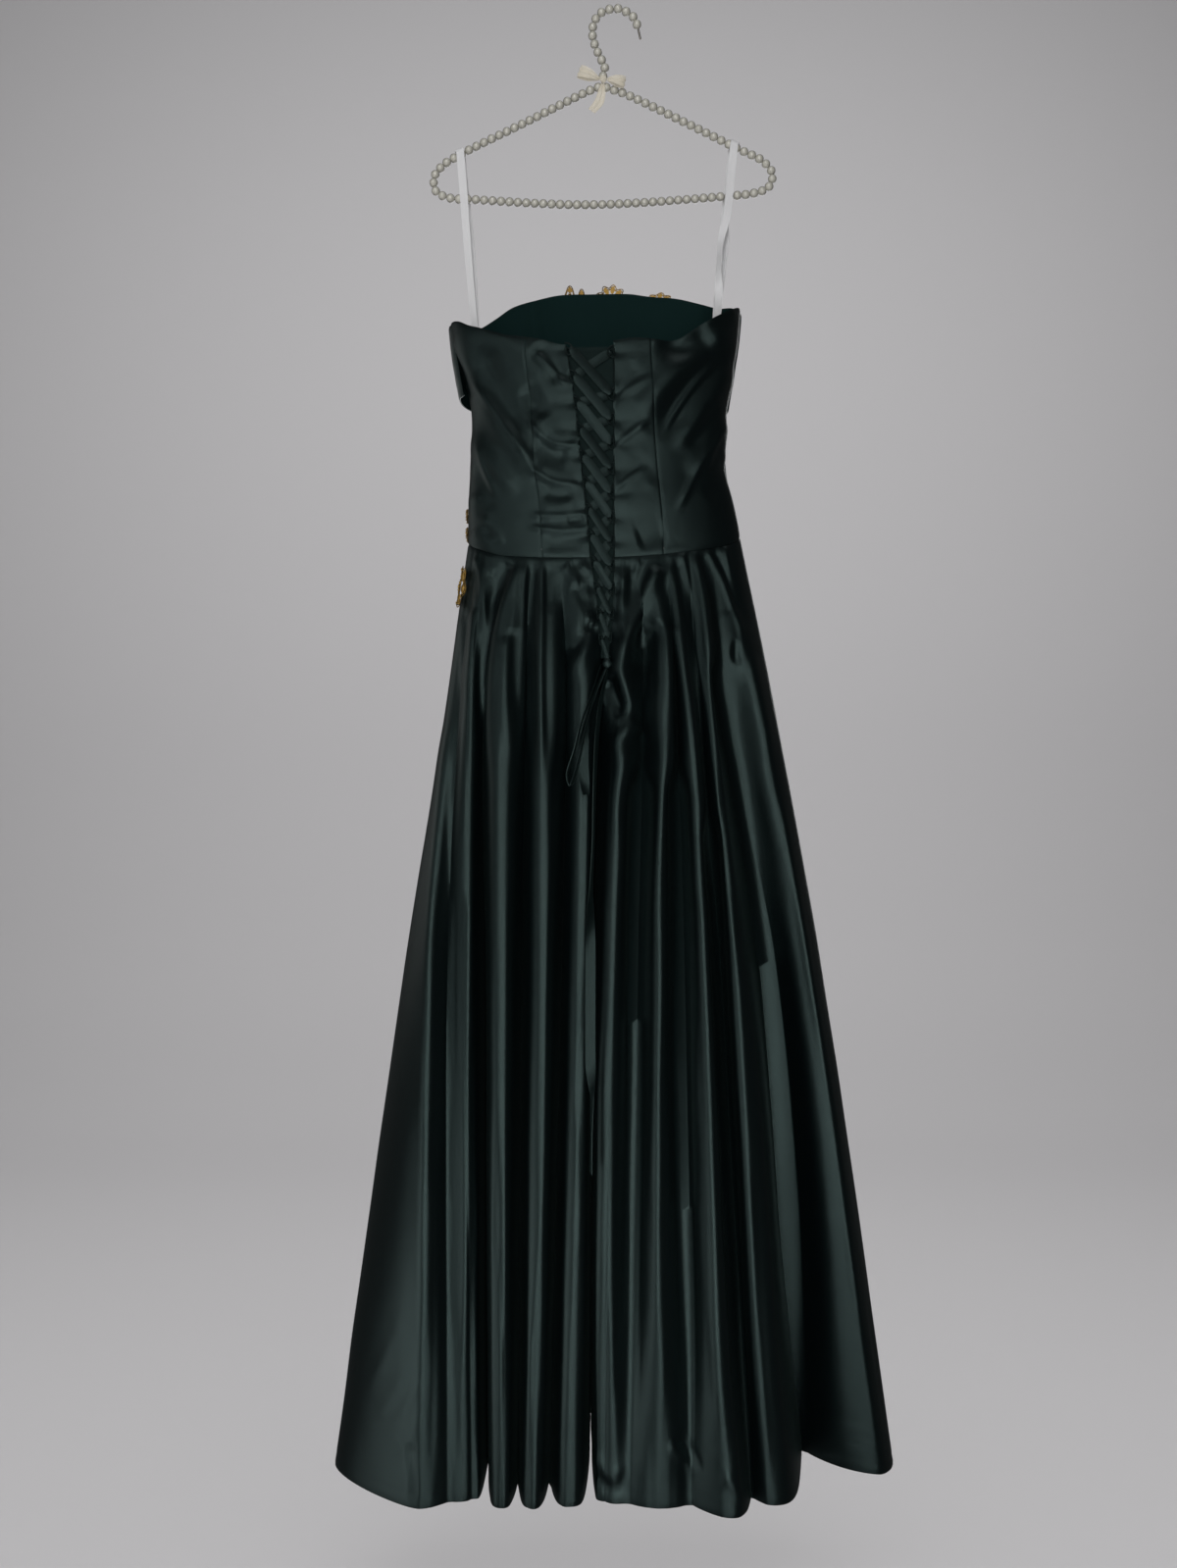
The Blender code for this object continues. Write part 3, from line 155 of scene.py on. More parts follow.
FRONT_FOLDS = (
    ("front_ridge_1", 118.0, 140.0, 50.0, 182.0, 72.0, 226.0, 96.0),
    ("front_valley_1", 92.0, 104.0, 46.0, 124.0, 44.0, 150.0, 50.0),
    ("front_ridge_2", 62.0, 66.0, 66.0, 76.0, 86.0, 90.0, 110.0),
    ("front_valley_2", 28.0, 28.0, 58.0, 32.0, 58.0, 35.0, 60.0),
    ("front_ridge_3", -12.0, -14.0, 69.0, -20.0, 90.0, -28.0, 112.0),
    ("front_valley_3", -52.0, -58.0, 57.0, -70.0, 56.0, -88.0, 58.0),
    ("front_ridge_4", -88.0, -98.0, 66.0, -120.0, 86.0, -148.0, 108.0),
    ("front_valley_4", -120.0, -134.0, 50.0, -164.0, 48.0, -205.0, 50.0),
    ("front_ridge_5", -146.0, -166.0, 44.0, -208.0, 62.0, -265.0, 84.0),
)
LEFT_SIDE = ("left_side", -169.0, -190.0, 0.0, -242.0, 0.0, -321.4, 0.0)
BACK_LEFT_FOLDS = (
    ("ridge_1", -163.5, -186.0, -28.0, -206.0, -70.0, -214.0, -90.0),
    ("valley_1", -154.0, -172.0, -40.0, -186.0, -58.0, -184.0, -79.0),
    ("ridge_2", -144.0, -160.0, -54.0, -166.0, -65.0, -158.0, -73.0),
    ("valley_4", -122.0, -146.0, -48.0, -147.0, -22.0, -145.0, 15.0),
    ("ridge_4", -108.0, -121.4, -70.0, -125.1, -84.0, -124.6, -90.0),
    ("valley_5", -96.0, -100.0, -58.0, -104.7, -52.0, -109.6, -42.0),
    ("ridge_5", -81.3, -81.0, -75.0, -80.9, -82.0, -91.6, -90.0),
    ("valley_7", -62.0, -56.0, -58.0, -61.6, -50.0, -74.5, -42.0),
    ("ridge_7", -44.0, -36.0, -73.0, -41.0, -78.0, -53.4, -86.0),
)
# Seam at the bottom of the deep middle fold: height, x, y
CENTRE_BACK = (
    (-1655.0, -28.4, 20.0), (-1370.0, -28.0, -4.0), (-1092.0, -27.1, -28.0),
    (-900.0, -22.0, -48.0), (-773.0, -16.0, -60.0), (-700.0, -15.0, -56.6),
    (-628.0, -16.0, -52.0),
)
FOLD_TABLES = (BACK_RIGHT_FOLDS, FRONT_FOLDS, BACK_LEFT_FOLDS)
print("folds drawn:", [len(rows) for rows in FOLD_TABLES])

# %% [markdown]
# ## Smooth curves
#
# A pattern is a handful of numbers, and cloth is smooth, so every table is read as a smooth
# curve through its rows. A centripetal curve is used across the skirt's folds, because it
# doesn't overshoot where a wide gap between two points follows a narrow one.


# %% Smooth curves
def read_table(rows, place, column=1):
    """Read a column of a table at a place on its first column, on a smooth curve."""
    if rows[0][0] > rows[-1][0]:
        rows = rows[::-1]
    keys = [row[0] for row in rows]
    values = [row[column] for row in rows]
    place = min(max(place, keys[0]), keys[-1])
    last = len(keys) - 1
    i = 0
    while i < last - 1 and place > keys[i + 1]:
        i += 1

    def slope(k):
        a = max(k - 1, 0)
        b = min(k + 1, last)
        return (values[b] - values[a]) / (keys[b] - keys[a])

    step = keys[i + 1] - keys[i]
    f = (place - keys[i]) / step
    rise = f * f * (3.0 - 2.0 * f)
    start_pull = f * (1.0 - f) * (1.0 - f) * step * slope(i)
    end_pull = f * f * (f - 1.0) * step * slope(i + 1)
    return values[i] + (values[i + 1] - values[i]) * rise + start_pull + end_pull


def curve(rows, column=1, fine=600):
    """One column of a table as a fast function that takes whole arrays."""
    keys = [row[0] for row in rows]
    places = np.linspace(min(keys), max(keys), fine)
    values = [read_table(rows, place, column) for place in places]
    return lambda place: np.interp(place, places, values)


def blend4(p0, p1, p2, p3, f):
    """Points at fraction f between p1 and p2, on a centripetal curve through four points."""

    def knot(a, b):
        return np.maximum(np.linalg.norm(b - a, axis=-1, keepdims=True), 0.01) ** 0.5

    k1 = knot(p0, p1)
    k2 = k1 + knot(p1, p2)
    k3 = k2 + knot(p2, p3)
    k = k1 + (k2 - k1) * f
    a1 = p0 * ((k1 - k) / k1) + p1 * (k / k1)
    a2 = p1 * ((k2 - k) / (k2 - k1)) + p2 * ((k - k1) / (k2 - k1))
    a3 = p2 * ((k3 - k) / (k3 - k2)) + p3 * ((k - k2) / (k3 - k2))
    b1 = a1 * ((k2 - k) / k2) + a2 * (k / k2)
    b2 = a2 * ((k3 - k) / (k3 - k1)) + a3 * ((k - k1) / (k3 - k1))
    return b1 * ((k2 - k) / (k2 - k1)) + b2 * ((k - k1) / (k2 - k1))


def smooth_line(points, per_span, closed=False):
    """Fine points on the smooth curve through a few points."""
    p = np.asarray(points, float)
    if closed:
        p = np.concatenate([p[-1:], p, p[:2]])
    else:
        p = np.concatenate([2.0 * p[:1] - p[1:2], p, 2.0 * p[-1:] - p[-2:-1]])
    line = []
    for i in range(len(p) - 3):
        for k in range(per_span):
            line.append(blend4(p[i], p[i + 1], p[i + 2], p[i + 3], k / per_span))
    if not closed:
        line.append(p[-2])
    return np.array(line)


def spread(values, per_span):
    """Values of the few points, spread evenly over the fine points."""
    v = np.asarray(values, float)
    places = np.linspace(0.0, len(v) - 1.0, (len(v) - 1) * per_span + 1)
    if v.ndim == 1:
        return np.interp(places, range(len(v)), v)
    return np.stack([np.interp(places, range(len(v)), v[:, c]) for c in range(v.shape[1])], -1)


def unit(v):
    return v / np.maximum(np.linalg.norm(v, axis=-1, keepdims=True), 1e-9)


def run_length(line):
    """Distance along a line of points."""
    steps = np.linalg.norm(np.diff(line, axis=0), axis=-1)
    return np.concatenate([[0.0], np.cumsum(steps)])


def ease(x):
    """Soft step from 0 to 1."""
    x = np.clip(x, 0.0, 1.0)
    return x * x * (3.0 - 2.0 * x)


def falloff(distance, width):
    """Mask that is 1 on a line and fades out softly beside it."""
    return np.exp(-((distance / width) ** 2))


def full_turn(count):
    """Even angles all the way round."""
    return np.linspace(0.0, 2.0 * np.pi, count, endpoint=False)


print("waist seam at the right side:", read_table(WAIST_SEAM, 0.0), "mm")

# %% The bodice as a surface
left_edge, right_edge, back_depth, front_depth = [
    curve(BODICE_SECTIONS, column) for column in (1, 2, 3, 4)
]
seam_height = curve(WAIST_SEAM)
back_top = curve(BACK_TOP)
front_top = curve(FRONT_TOP)
placket_left = curve(PLACKET, 1)
placket_right = curve(PLACKET, 2)
centre_back_y = curve(CENTRE_BACK, 2)


def signed_power(value, power):
    return np.sign(value) * np.abs(value) ** power


def bodice_point(angle, z):
    """Outside of the bodice, with angle 0 at the right side and 90 degrees in front."""
    angle, z = np.broadcast_arrays(np.asarray(angle, float), np.asarray(z, float))
    left, right = left_edge(z), right_edge(z)
    power = 2.0 / SECTION_POWER
    x = (left + right) / 2.0 + (right - left) / 2.0 * signed_power(np.cos(angle), power)
    lift = signed_power(np.sin(angle), power)
    depth = np.where(lift > 0.0, front_depth(z), back_depth(z))
    return np.stack([x, depth * lift, z], -1)


def bodice_normal(angle, z):
    turn, rise = 0.02, 2.0
    across = bodice_point(angle + turn, z) - bodice_point(angle - turn, z)
    up = bodice_point(angle, z + rise) - bodice_point(angle, z - rise)
    return unit(np.cross(across, up))


def bodice_out(angle, z, distance):
    """Points at a distance outside the bodice surface."""
    distance = np.asarray(distance, float)[..., None]
    return bodice_point(angle, z) + bodice_normal(angle, z) * distance


def angle_at(x, z, on_back):
    """Angle of the bodice point with this x, on the back or on the front."""
    left, right = left_edge(z), right_edge(z)
    share = np.clip((x - (left + right) / 2.0) / ((right - left) / 2.0), -1.0, 1.0)
    angle = np.arccos(signed_power(share, SECTION_POWER / 2.0))
    return 2.0 * np.pi - angle if on_back else angle


def waist_z(angle):
    return seam_height(np.degrees(angle) % 360.0)


def top_z(angle):
    z = np.full(np.shape(angle), -350.0)
    for _ in range(4):
        x = bodice_point(angle, z)[..., 0]
        z = np.where(np.sin(angle) < 0.0, back_top(x), front_top(x))
    return z


def skin(x, z, depth):
    """Point in the laced opening, at a depth behind its edges."""
    x, z = np.broadcast_arrays(np.asarray(x, float), np.asarray(z, float))
    y = np.where(
        z > WAIST_BACK_Z, bodice_point(angle_at(x, z, True), z)[..., 1], centre_back_y(z)
    )
    return np.stack([x, y + depth, z], -1)


waist_width = float(right_edge(WAIST_BACK_Z) - left_edge(WAIST_BACK_Z))
print("waist laid flat:", round(waist_width), "mm")

# %% [markdown]
# ## The free lacing ends
#
# The two ends of the lacing come out of the knot below the opening. One hangs almost to the
# knees, one is short, and a bow loop that has slipped hangs beside it. The photo shows all
# three from the knot to their ends, so their lengths are the real ones. They are narrow satin
# ribbons, and a ribbon turns its face as it hangs: the last column is that turn in degrees.

# %% Routes of the lacing ends
# Columns: x, y, height, turn of the ribbon's face, width
LONG_TAIL = (
    (-9.8, -63.9, -755.9, 60.0, 4.0),
    (-17.0, -74.0, -785.0, 50.0, 6.0),
    (-22.4, -82.0, -830.0, 68.0, 11.0),
    (-25.1, -86.0, -884.0, 76.0, 11.0),
    (-26.2, -87.0, -943.0, 76.0, 11.0),
    (-28.6, -88.0, -990.0, 72.0, 11.0),
    (-29.4, -88.5, -1030.0, 30.0, 11.0),
    (-29.3, -88.5, -1063.0, 2.0, 11.0),
    (-29.2, -89.0, -1177.0, -4.0, 11.0),
    (-27.8, -89.5, -1213.0, -70.0, 11.0),
    (-28.4, -90.0, -1255.0, -82.0, 11.0),
    (-29.0, -90.5, -1296.0, -78.0, 11.0),
)
SHORT_TAIL = (
    (-12.8, -67.0, -754.4, 20.0, 3.2),
    (-24.0, -79.0, -782.0, 40.0, 3.6),
    (-33.2, -86.0, -811.0, 50.0, 5.0),
    (-36.2, -89.0, -833.0, 20.0, 11.0),
    (-37.0, -90.0, -853.0, 0.0, 11.5),
    (-36.0, -90.5, -873.0, 10.0, 11.0),
    (-34.0, -91.0, -891.0, 35.0, 9.0),
)
BOW_LOOP = (
    (-17.6, -65.5, -750.0, 85.0, 3.2),
    (-28.5, -85.0, -784.0, 80.0, 4.0),
    (-39.0, -97.0, -815.0, 78.0, 7.0),
    (-46.5, -100.0, -845.0, 78.0, 10.0),
    (-53.5, -100.5, -870.0, 74.0, 10.0),
    (-50.5, -100.5, -881.0, 72.0, 9.0),
    (-45.0, -100.5, -868.0, 72.0, 10.0),
    (-39.0, -99.5, -843.0, 76.0, 9.0),
    (-31.6, -95.0, -806.0, 78.0, 5.0),
)
TAIL_STEPS = 10


def tail_route(rows):
    """Fine centreline, width directions and widths of a hanging ribbon."""
    rows = np.asarray(rows, float)
    line = smooth_line(rows[:, :3], TAIL_STEPS)
    turn = np.radians(spread(rows[:, 3], TAIL_STEPS))
    sides = np.stack([np.cos(turn), np.sin(turn), np.zeros_like(turn)], -1)
    return line, sides, spread(rows[:, 4], TAIL_STEPS)


for label, rows in (("long", LONG_TAIL), ("short", SHORT_TAIL), ("loop", BOW_LOOP)):
    print(label, "end is", round(run_length(tail_route(rows)[0])[-1]), "mm long")

# %% [markdown]
# ## Shader groups
#
# Most of the dress is one cloth, so the effects that more than one finish needs are built
# once as node groups. `threads` gives the fine relief of a weave and long slubs along the
# cloth, from its map in metres. `soft_shade` gives slow, cloudy changes of tone. Both only
# put out numbers: the shader itself stays in each material.


# %% Helpers for shader nodes
def new_group(name, inputs, outputs):
    """Empty shader group with named float inputs, as (name, value), and float outputs."""
    group = bpy.data.node_groups.new(name, "ShaderNodeTree")
    for title, value in inputs:
        socket = group.interface.new_socket(title, in_out="INPUT", socket_type="NodeSocketFloat")
        socket.default_value = value
    for title in outputs:
        group.interface.new_socket(title, in_out="OUTPUT", socket_type="NodeSocketFloat")
    return group, group.nodes.new("NodeGroupInput"), group.nodes.new("NodeGroupOutput")


def add(tree, kind, **values):
    """New node with some of its settings or unlinked sockets set by name."""
    node = tree.nodes.new(kind)
    for key, value in values.items():
        title = key.replace("_", " ")
        if title in node.inputs:
            node.inputs[title].default_value = value
        else:
            setattr(node, key, value)
    return node


def math_node(tree, operation, a, b=None):
    """Math node on sockets or numbers; returns its output."""
    node = tree.nodes.new("ShaderNodeMath")
    node.operation = operation
    for socket, value in zip(node.inputs, (a, b)):
        if value is None:
            continue
        if isinstance(value, (int, float)):
            socket.default_value = value
        else:
            tree.links.new(value, socket)
    return node.outputs[0]


def scaled(tree, mask, factor, start):
    """A mask times a factor, from a start value; returns its output."""
    return math_node(tree, "ADD", math_node(tree, "MULTIPLY", mask, factor), start)


# %% Threads and slubs
def build_threads():
    """Height of a fine weave, long slubs along the cloth, and flecks of single threads."""
    group, given, result = new_group(
        "threads",
        (("Threads per metre", 1400.0), ("Slub length", 14.0), ("Slub width", 700.0)),
        ("Height", "Slub", "Fleck"),
    )
    link = group.links.new
    place = add(group, "ShaderNodeUVMap", uv_map="cloth")
    parts = group.nodes.new("ShaderNodeSeparateXYZ")
    link(place.outputs["UV"], parts.inputs[0])
    count = given.outputs["Threads per metre"]
    turns = [math_node(group, "MULTIPLY", parts.outputs[axis], count) for axis in (0, 1)]
    turns = [math_node(group, "MULTIPLY", turn, 2.0 * math.pi) for turn in turns]
    waves = [math_node(group, "SINE", turn) for turn in turns]
    total = math_node(group, "MULTIPLY", waves[0], waves[1])
    link(total, result.inputs["Height"])
    stretched = group.nodes.new("ShaderNodeCombineXYZ")
    link(math_node(group, "MULTIPLY", parts.outputs[0], given.outputs["Slub width"]),
         stretched.inputs[0])
    link(math_node(group, "MULTIPLY", parts.outputs[1], given.outputs["Slub length"]),
         stretched.inputs[1])
    slub = add(group, "ShaderNodeTexNoise", Scale=1.0, Detail=2.0, Roughness=0.6)
    link(stretched.outputs[0], slub.inputs["Vector"])
    link(slub.outputs["Fac"], result.inputs["Slub"])
    fleck = add(group, "ShaderNodeTexNoise", Scale=2.3, Detail=3.0, Roughness=0.7)
    link(stretched.outputs[0], fleck.inputs["Vector"])
    link(fleck.outputs["Fac"], result.inputs["Fleck"])
    return group


def build_soft_shade():
    """Slow cloudy mask, from 0 to 1, over the whole object."""
    group, given, result = new_group(
        "soft_shade", (("Patch size", 9.0), ("Contrast", 0.5)), ("Mask",)
    )
    link = group.links.new
    place = group.nodes.new("ShaderNodeTexCoord")
    cloud = add(group, "ShaderNodeTexNoise", Detail=3.0, Roughness=0.55)
    link(place.outputs["Object"], cloud.inputs["Vector"])
    link(given.outputs["Patch size"], cloud.inputs["Scale"])
    centred = math_node(group, "SUBTRACT", cloud.outputs["Fac"], 0.5)
    link(scaled(group, centred, given.outputs["Contrast"], 0.5), result.inputs["Mask"])
    return group


THREADS = build_threads()
SOFT_SHADE = build_soft_shade()
print("shader groups:", THREADS.name, SOFT_SHADE.name)

# %% [markdown]
# ## Cloth finishes
#
# Duchess satin is woven so that long floats of thread lie on its face. That gives a smooth
# cloth with a broad, soft shine, and almost no visible weave at arm's length. The colour here
# is a green so dark that it reads black in the valleys, so nearly all that one sees of the
# folds is the shine. Its back, and the lining, are matte.


# %% Parts that finishes share
def new_finish(name, **settings):
    """Material, its node tree, and its shader with some constant settings."""
    material = bpy.data.materials.new(name)
    material.use_nodes = True
    shader = material.node_tree.nodes["Principled BSDF"]
    for key, value in settings.items():
        shader.inputs[key.replace("_", " ")].default_value = value
    return material, material.node_tree, shader


def two_tones(tree, mask, deep, tone):
    """Colour that a mask mixes from two tones; returns its output."""
    mix = add(tree, "ShaderNodeMix", data_type="RGBA")
    mix.inputs[6].default_value = (*deep, 1.0)
    mix.inputs[7].default_value = (*tone, 1.0)
    tree.links.new(mask, mix.inputs[0])
    return mix.outputs[2]


# %% One recipe for every cloth
NAP_ROUGHNESS = 0.4
FLECK_RELIEF = 1.2
THREAD_RELIEF = 0.0002
WHITE = (1.0, 1.0, 1.0)


def cloth_finish(name, tone, deep, roughness, spread_of_gloss, threads, bump, sheen=0.0,
                 sheen_tint=WHITE, specular=0.5, shine=WHITE):
    """Woven finish: two tones that the slubs mix, uneven gloss, and the relief of threads."""
    material, tree, shader = new_finish(
        name, Sheen_Weight=sheen, Sheen_Roughness=NAP_ROUGHNESS, Sheen_Tint=(*sheen_tint, 1.0),
        Specular_IOR_Level=specular, Specular_Tint=(*shine, 1.0),
    )
    link = tree.links.new
    weave = add(tree, "ShaderNodeGroup", node_tree=THREADS, Threads_per_metre=threads)
    cloud = add(tree, "ShaderNodeGroup", node_tree=SOFT_SHADE)
    share = math_node(tree, "ADD", weave.outputs["Slub"], cloud.outputs["Mask"])
    share = math_node(tree, "MULTIPLY", share, 0.5)
    link(two_tones(tree, share, deep, tone), shader.inputs["Base Color"])
    uneven = math_node(tree, "SUBTRACT", weave.outputs["Fleck"], 0.5)
    link(scaled(tree, uneven, spread_of_gloss, roughness), shader.inputs["Roughness"])
    relief = scaled(tree, weave.outputs["Fleck"], FLECK_RELIEF, weave.outputs["Height"])
    raised = add(tree, "ShaderNodeBump", Strength=bump, Distance=THREAD_RELIEF)
    link(relief, raised.inputs["Height"])
    link(raised.outputs["Normal"], shader.inputs["Normal"])
    return material


SHINE = (0.68, 1.0, 0.97)
GREEN_NAP = (0.5, 0.8, 0.75)
SATIN_FACE = cloth_finish(
    "satin_face", (0.0018, 0.0036, 0.0044), (0.0008, 0.0018, 0.0024), 0.31, 0.14, 1500.0, 0.20,
    sheen=0.015, sheen_tint=GREEN_NAP, specular=0.60, shine=SHINE,
)
SATIN_BACK = cloth_finish(
    "satin_back", (0.0034, 0.0105, 0.0100), (0.0016, 0.0052, 0.0050), 0.62, 0.10, 1200.0, 0.3,
    specular=0.35, shine=SHINE,
)
LINING_CLOTH = cloth_finish(
    "lining_cloth", (0.0130, 0.0400, 0.0395), (0.0090, 0.0290, 0.0285), 0.80, 0.08, 1100.0, 0.35,
    specular=0.15, shine=SHINE,
)
LACE_RIBBON = cloth_finish(
    "lace_ribbon", (0.0030, 0.0066, 0.0068), (0.0014, 0.0034, 0.0036), 0.38, 0.12, 1600.0, 0.25,
    sheen=0.03, sheen_tint=GREEN_NAP, specular=0.60, shine=SHINE,
)
CORD_CLOTH = cloth_finish(
    "cord_cloth", (0.0035, 0.0065, 0.0066), (0.0015, 0.0032, 0.0035), 0.42, 0.12, 2200.0, 0.4,
    specular=0.4, shine=SHINE,
)
WHITE_RIBBON = cloth_finish(
    "white_ribbon", (0.86, 0.86, 0.87), (0.78, 0.78, 0.80), 0.55, 0.12, 900.0, 0.6, sheen=0.25,
)
print("cloth finishes made:", len(bpy.data.materials))

# %% [markdown]
# ## Pearl, wire, organza and gold lace
#
# The hanger's beads are plastic with a pearl coat: cream and glossy, with painted shade that
# darkens them towards their outline. Organza is so sheer that one sees through it, so its threads
# are an alpha mask. The lace is gilded cord with small glass beads.


# %% Pearl finish
def pearl_finish():
    """Cream beads with a glossy coat, with painted shade that darkens them towards their outline.
    """
    material, tree, shader = new_finish(
        "pearl_bead", Coat_Weight=0.55, Coat_Roughness=0.12, Specular_IOR_Level=0.6
    )
    link = tree.links.new
    # Painted shade: the base colour goes from cream where a bead faces the camera to near black at
    # its outline.
    turned = add(tree, "ShaderNodeLayerWeight", Blend=0.42)
    painted_shade_ramp = tree.nodes.new("ShaderNodeValToRGB")
    stops = painted_shade_ramp.color_ramp.elements
    stops[0].color = (0.74, 0.72, 0.64, 1.0)
    stops[1].color = (0.13, 0.13, 0.11, 1.0)
    stops.new(0.55).color = (0.46, 0.45, 0.39, 1.0)
    link(turned.outputs["Facing"], painted_shade_ramp.inputs["Fac"])
    cloud = add(tree, "ShaderNodeGroup", node_tree=SOFT_SHADE, Patch_size=260.0, Contrast=0.8)
    shade = tree.nodes.new("ShaderNodeCombineColor")
    for channel in range(3):
        link(cloud.outputs["Mask"], shade.inputs[channel])
    mix = add(tree, "ShaderNodeMix", data_type="RGBA", blend_type="MULTIPLY")
    mix.inputs[0].default_value = 0.35
    link(painted_shade_ramp.outputs["Color"], mix.inputs[6])
    link(shade.outputs[0], mix.inputs[7])
    link(mix.outputs[2], shader.inputs["Base Color"])
    link(scaled(tree, cloud.outputs["Mask"], 0.22, 0.10), shader.inputs["Roughness"])
    return material


# %% Metal and organza finishes
def metal_finish(name, tone, roughness, metallic=1.0):
    """Wire or gilded thread, with uneven tone and a brushed gloss."""
    material, tree, shader = new_finish(name, Metallic=metallic)
    link = tree.links.new
    cloud = add(tree, "ShaderNodeGroup", node_tree=SOFT_SHADE, Patch_size=420.0, Contrast=1.4)
    mask = cloud.outputs["Mask"]
    deep = [part * 0.55 for part in tone]
    link(two_tones(tree, mask, deep, tone), shader.inputs["Base Color"])
    link(scaled(tree, mask, 0.25, roughness), shader.inputs["Roughness"])
    return material


def organza_finish():
    """Sheer ribbon: only its threads are there, so most of what lies behind shows through."""
    material, tree, shader = new_finish("organza", Sheen_Weight=0.5)
    link = tree.links.new
    weave = add(tree, "ShaderNodeGroup", node_tree=THREADS, Threads_per_metre=700.0)
    cloud = add(tree, "ShaderNodeGroup", node_tree=SOFT_SHADE, Patch_size=90.0)
    tones = two_tones(tree, cloud.outputs["Mask"], (0.78, 0.71, 0.56), (0.92, 0.88, 0.78))
    link(tones, shader.inputs["Base Color"])
    link(math_node(tree, "ADD", weave.outputs["Slub"], 0.05), shader.inputs["Roughness"])
    link(scaled(tree, weave.outputs["Height"], 0.18, 0.62), shader.inputs["Alpha"])
    return material


PEARL = pearl_finish()
WIRE = metal_finish("hanger_wire", (0.30, 0.28, 0.25), 0.28)
GOLD_CORD = metal_finish("gold_cord", (0.36, 0.22, 0.055), 0.34, metallic=0.75)
GOLD_BEAD = metal_finish("gold_bead", (0.70, 0.48, 0.15), 0.12, metallic=0.85)
ORGANZA = organza_finish()
print("trim finishes made")

# %% [markdown]
# ## From points to cloth
#
# Every piece of cloth is a grid of points with a second grid behind it, so it has a true
# thickness and a folded edge. The grid's own lengths become its map, so the weave follows
# the cloth wherever it goes. Ribbons are the same kind of grid, long and narrow.

# %% Pieces of cloth
SHARP_EDGE = math.radians(60.0)


def finish_piece(name, points, faces, mats, kinds, maps, node):
    """Object from points in millimetres, with material, map, body and the solid it replaces."""
    mesh = bpy.data.meshes.new(name)
    mesh.from_pydata((np.asarray(points) * MM).tolist(), [], faces)
    for material in mats:
        mesh.materials.append(material)
    if kinds is not None:
        mesh.polygons.foreach_set("material_index", kinds)
    layer = mesh.uv_layers.new(name="cloth")
    corners = np.empty(len(mesh.loops), dtype=np.int32)
    mesh.loops.foreach_get("vertex_index", corners)
    layer.data.foreach_set("uv", np.asarray(maps, np.float32)[corners].ravel())
    mesh.shade_smooth()
    mesh.set_sharp_from_angle(angle=SHARP_EDGE)
    obj = bpy.data.objects.new(name, mesh)
    bpy.context.scene.collection.objects.link(obj)
    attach(obj, "root")
    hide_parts(node)
    return obj


def grid_normals(grid):
    """Outward normals of a grid whose columns run across and whose rows run up."""
    across = np.gradient(grid, axis=1)
    up = np.gradient(grid, axis=0)
    return unit(np.cross(across, up))


def grid_map(grid):
    """Map of a grid in metres: its own lengths across and up."""
    across = np.cumsum(np.linalg.norm(np.diff(grid, axis=1), axis=-1), axis=1)
    up = np.cumsum(np.linalg.norm(np.diff(grid, axis=0), axis=-1), axis=0)
    u = np.concatenate([np.zeros((grid.shape[0], 1)), across], 1)
    v = np.concatenate([np.zeros((1, grid.shape[1])), up], 0)
    return np.stack([u, v], -1) * MM


def shell_parts(outer, thickness):
    """Points, faces, face kinds and map of a closed shell behind a grid."""
    rows, columns = outer.shape[:2]
    inner = outer - grid_normals(outer) * thickness
    size = rows * columns
    index = np.arange(size).reshape(rows, columns)
    a, b = index[:-1, :-1].ravel(), index[:-1, 1:].ravel()
    c, d = index[1:, 1:].ravel(), index[1:, :-1].ravel()
    front = np.stack([a, b, c, d], 1)
    back = np.stack([a, d, c, b], 1) + size
    border = np.concatenate([index[0, :], index[1:, -1], index[-1, -2::-1], index[-2:0:-1, 0]])
    after = np.roll(border, -1)
    rim = np.stack([border, border + size, after + size, after], 1)
    faces = np.concatenate([front, back, rim])
    kinds = [0] * len(front) + [1] * len(back) + [0] * len(rim)
    points = np.concatenate([outer.reshape(-1, 3), inner.reshape(-1, 3)])
    flat = grid_map(outer).reshape(-1, 2)
    return points, faces, kinds, np.concatenate([flat, flat])


def cloth(name, outer, thickness, node, face=SATIN_FACE, back=None):
    """Closed shell of cloth with its own face and back."""
    points, faces, kinds, maps = shell_parts(outer, thickness)
    mats = [face, back or face]
    return finish_piece(name, points, faces.tolist(), mats, kinds, maps, node)


def area_of(grid):
    """Area of a grid in square metres."""
    a = np.cross(grid[:-1, 1:] - grid[:-1, :-1], grid[1:, :-1] - grid[:-1, :-1])
    b = np.cross(grid[:-1, 1:] - grid[1:, 1:], grid[1:, :-1] - grid[1:, 1:])
    total = np.linalg.norm(a, axis=-1).sum() + np.linalg.norm(b, axis=-1).sum()
    return total / 2.0 * MM * MM


square = np.array([[(0, 0, 0), (10, 0, 0)], [(0, 0, 10), (10, 0, 10)]], float)
print("a 10 mm square of cloth measures", area_of(square), "m2")


# %% Ribbons and tubes
def ribbon_grid(line, sides, widths, cup=0.0, across=6):
    """Grid of a ribbon: its line, its width directions, its widths, and a slight cup."""
    tangent = unit(np.gradient(line, axis=0))
    sides = unit(sides - tangent * (sides * tangent).sum(-1, keepdims=True))
    face = np.cross(sides, tangent)
    u = np.linspace(-0.5, 0.5, across + 1)
    grid = line[:, None, :] + sides[:, None, :] * (u[None, :, None] * widths[:, None, None])
    bow = cup * (1.0 - 4.0 * u * u)
    return grid + face[:, None, :] * bow[None, :, None]


def ribbon(name, line, sides, widths, thickness, node, finish, cup=0.0, across=6):
    """Ribbon along a line, as a closed shell round its middle."""
    grid = ribbon_grid(line, sides, widths, cup, across)
    grid = grid + grid_normals(grid) * (thickness / 2.0)
    return cloth(name, grid, thickness, node, finish)


MAP_ROUND = 0.006


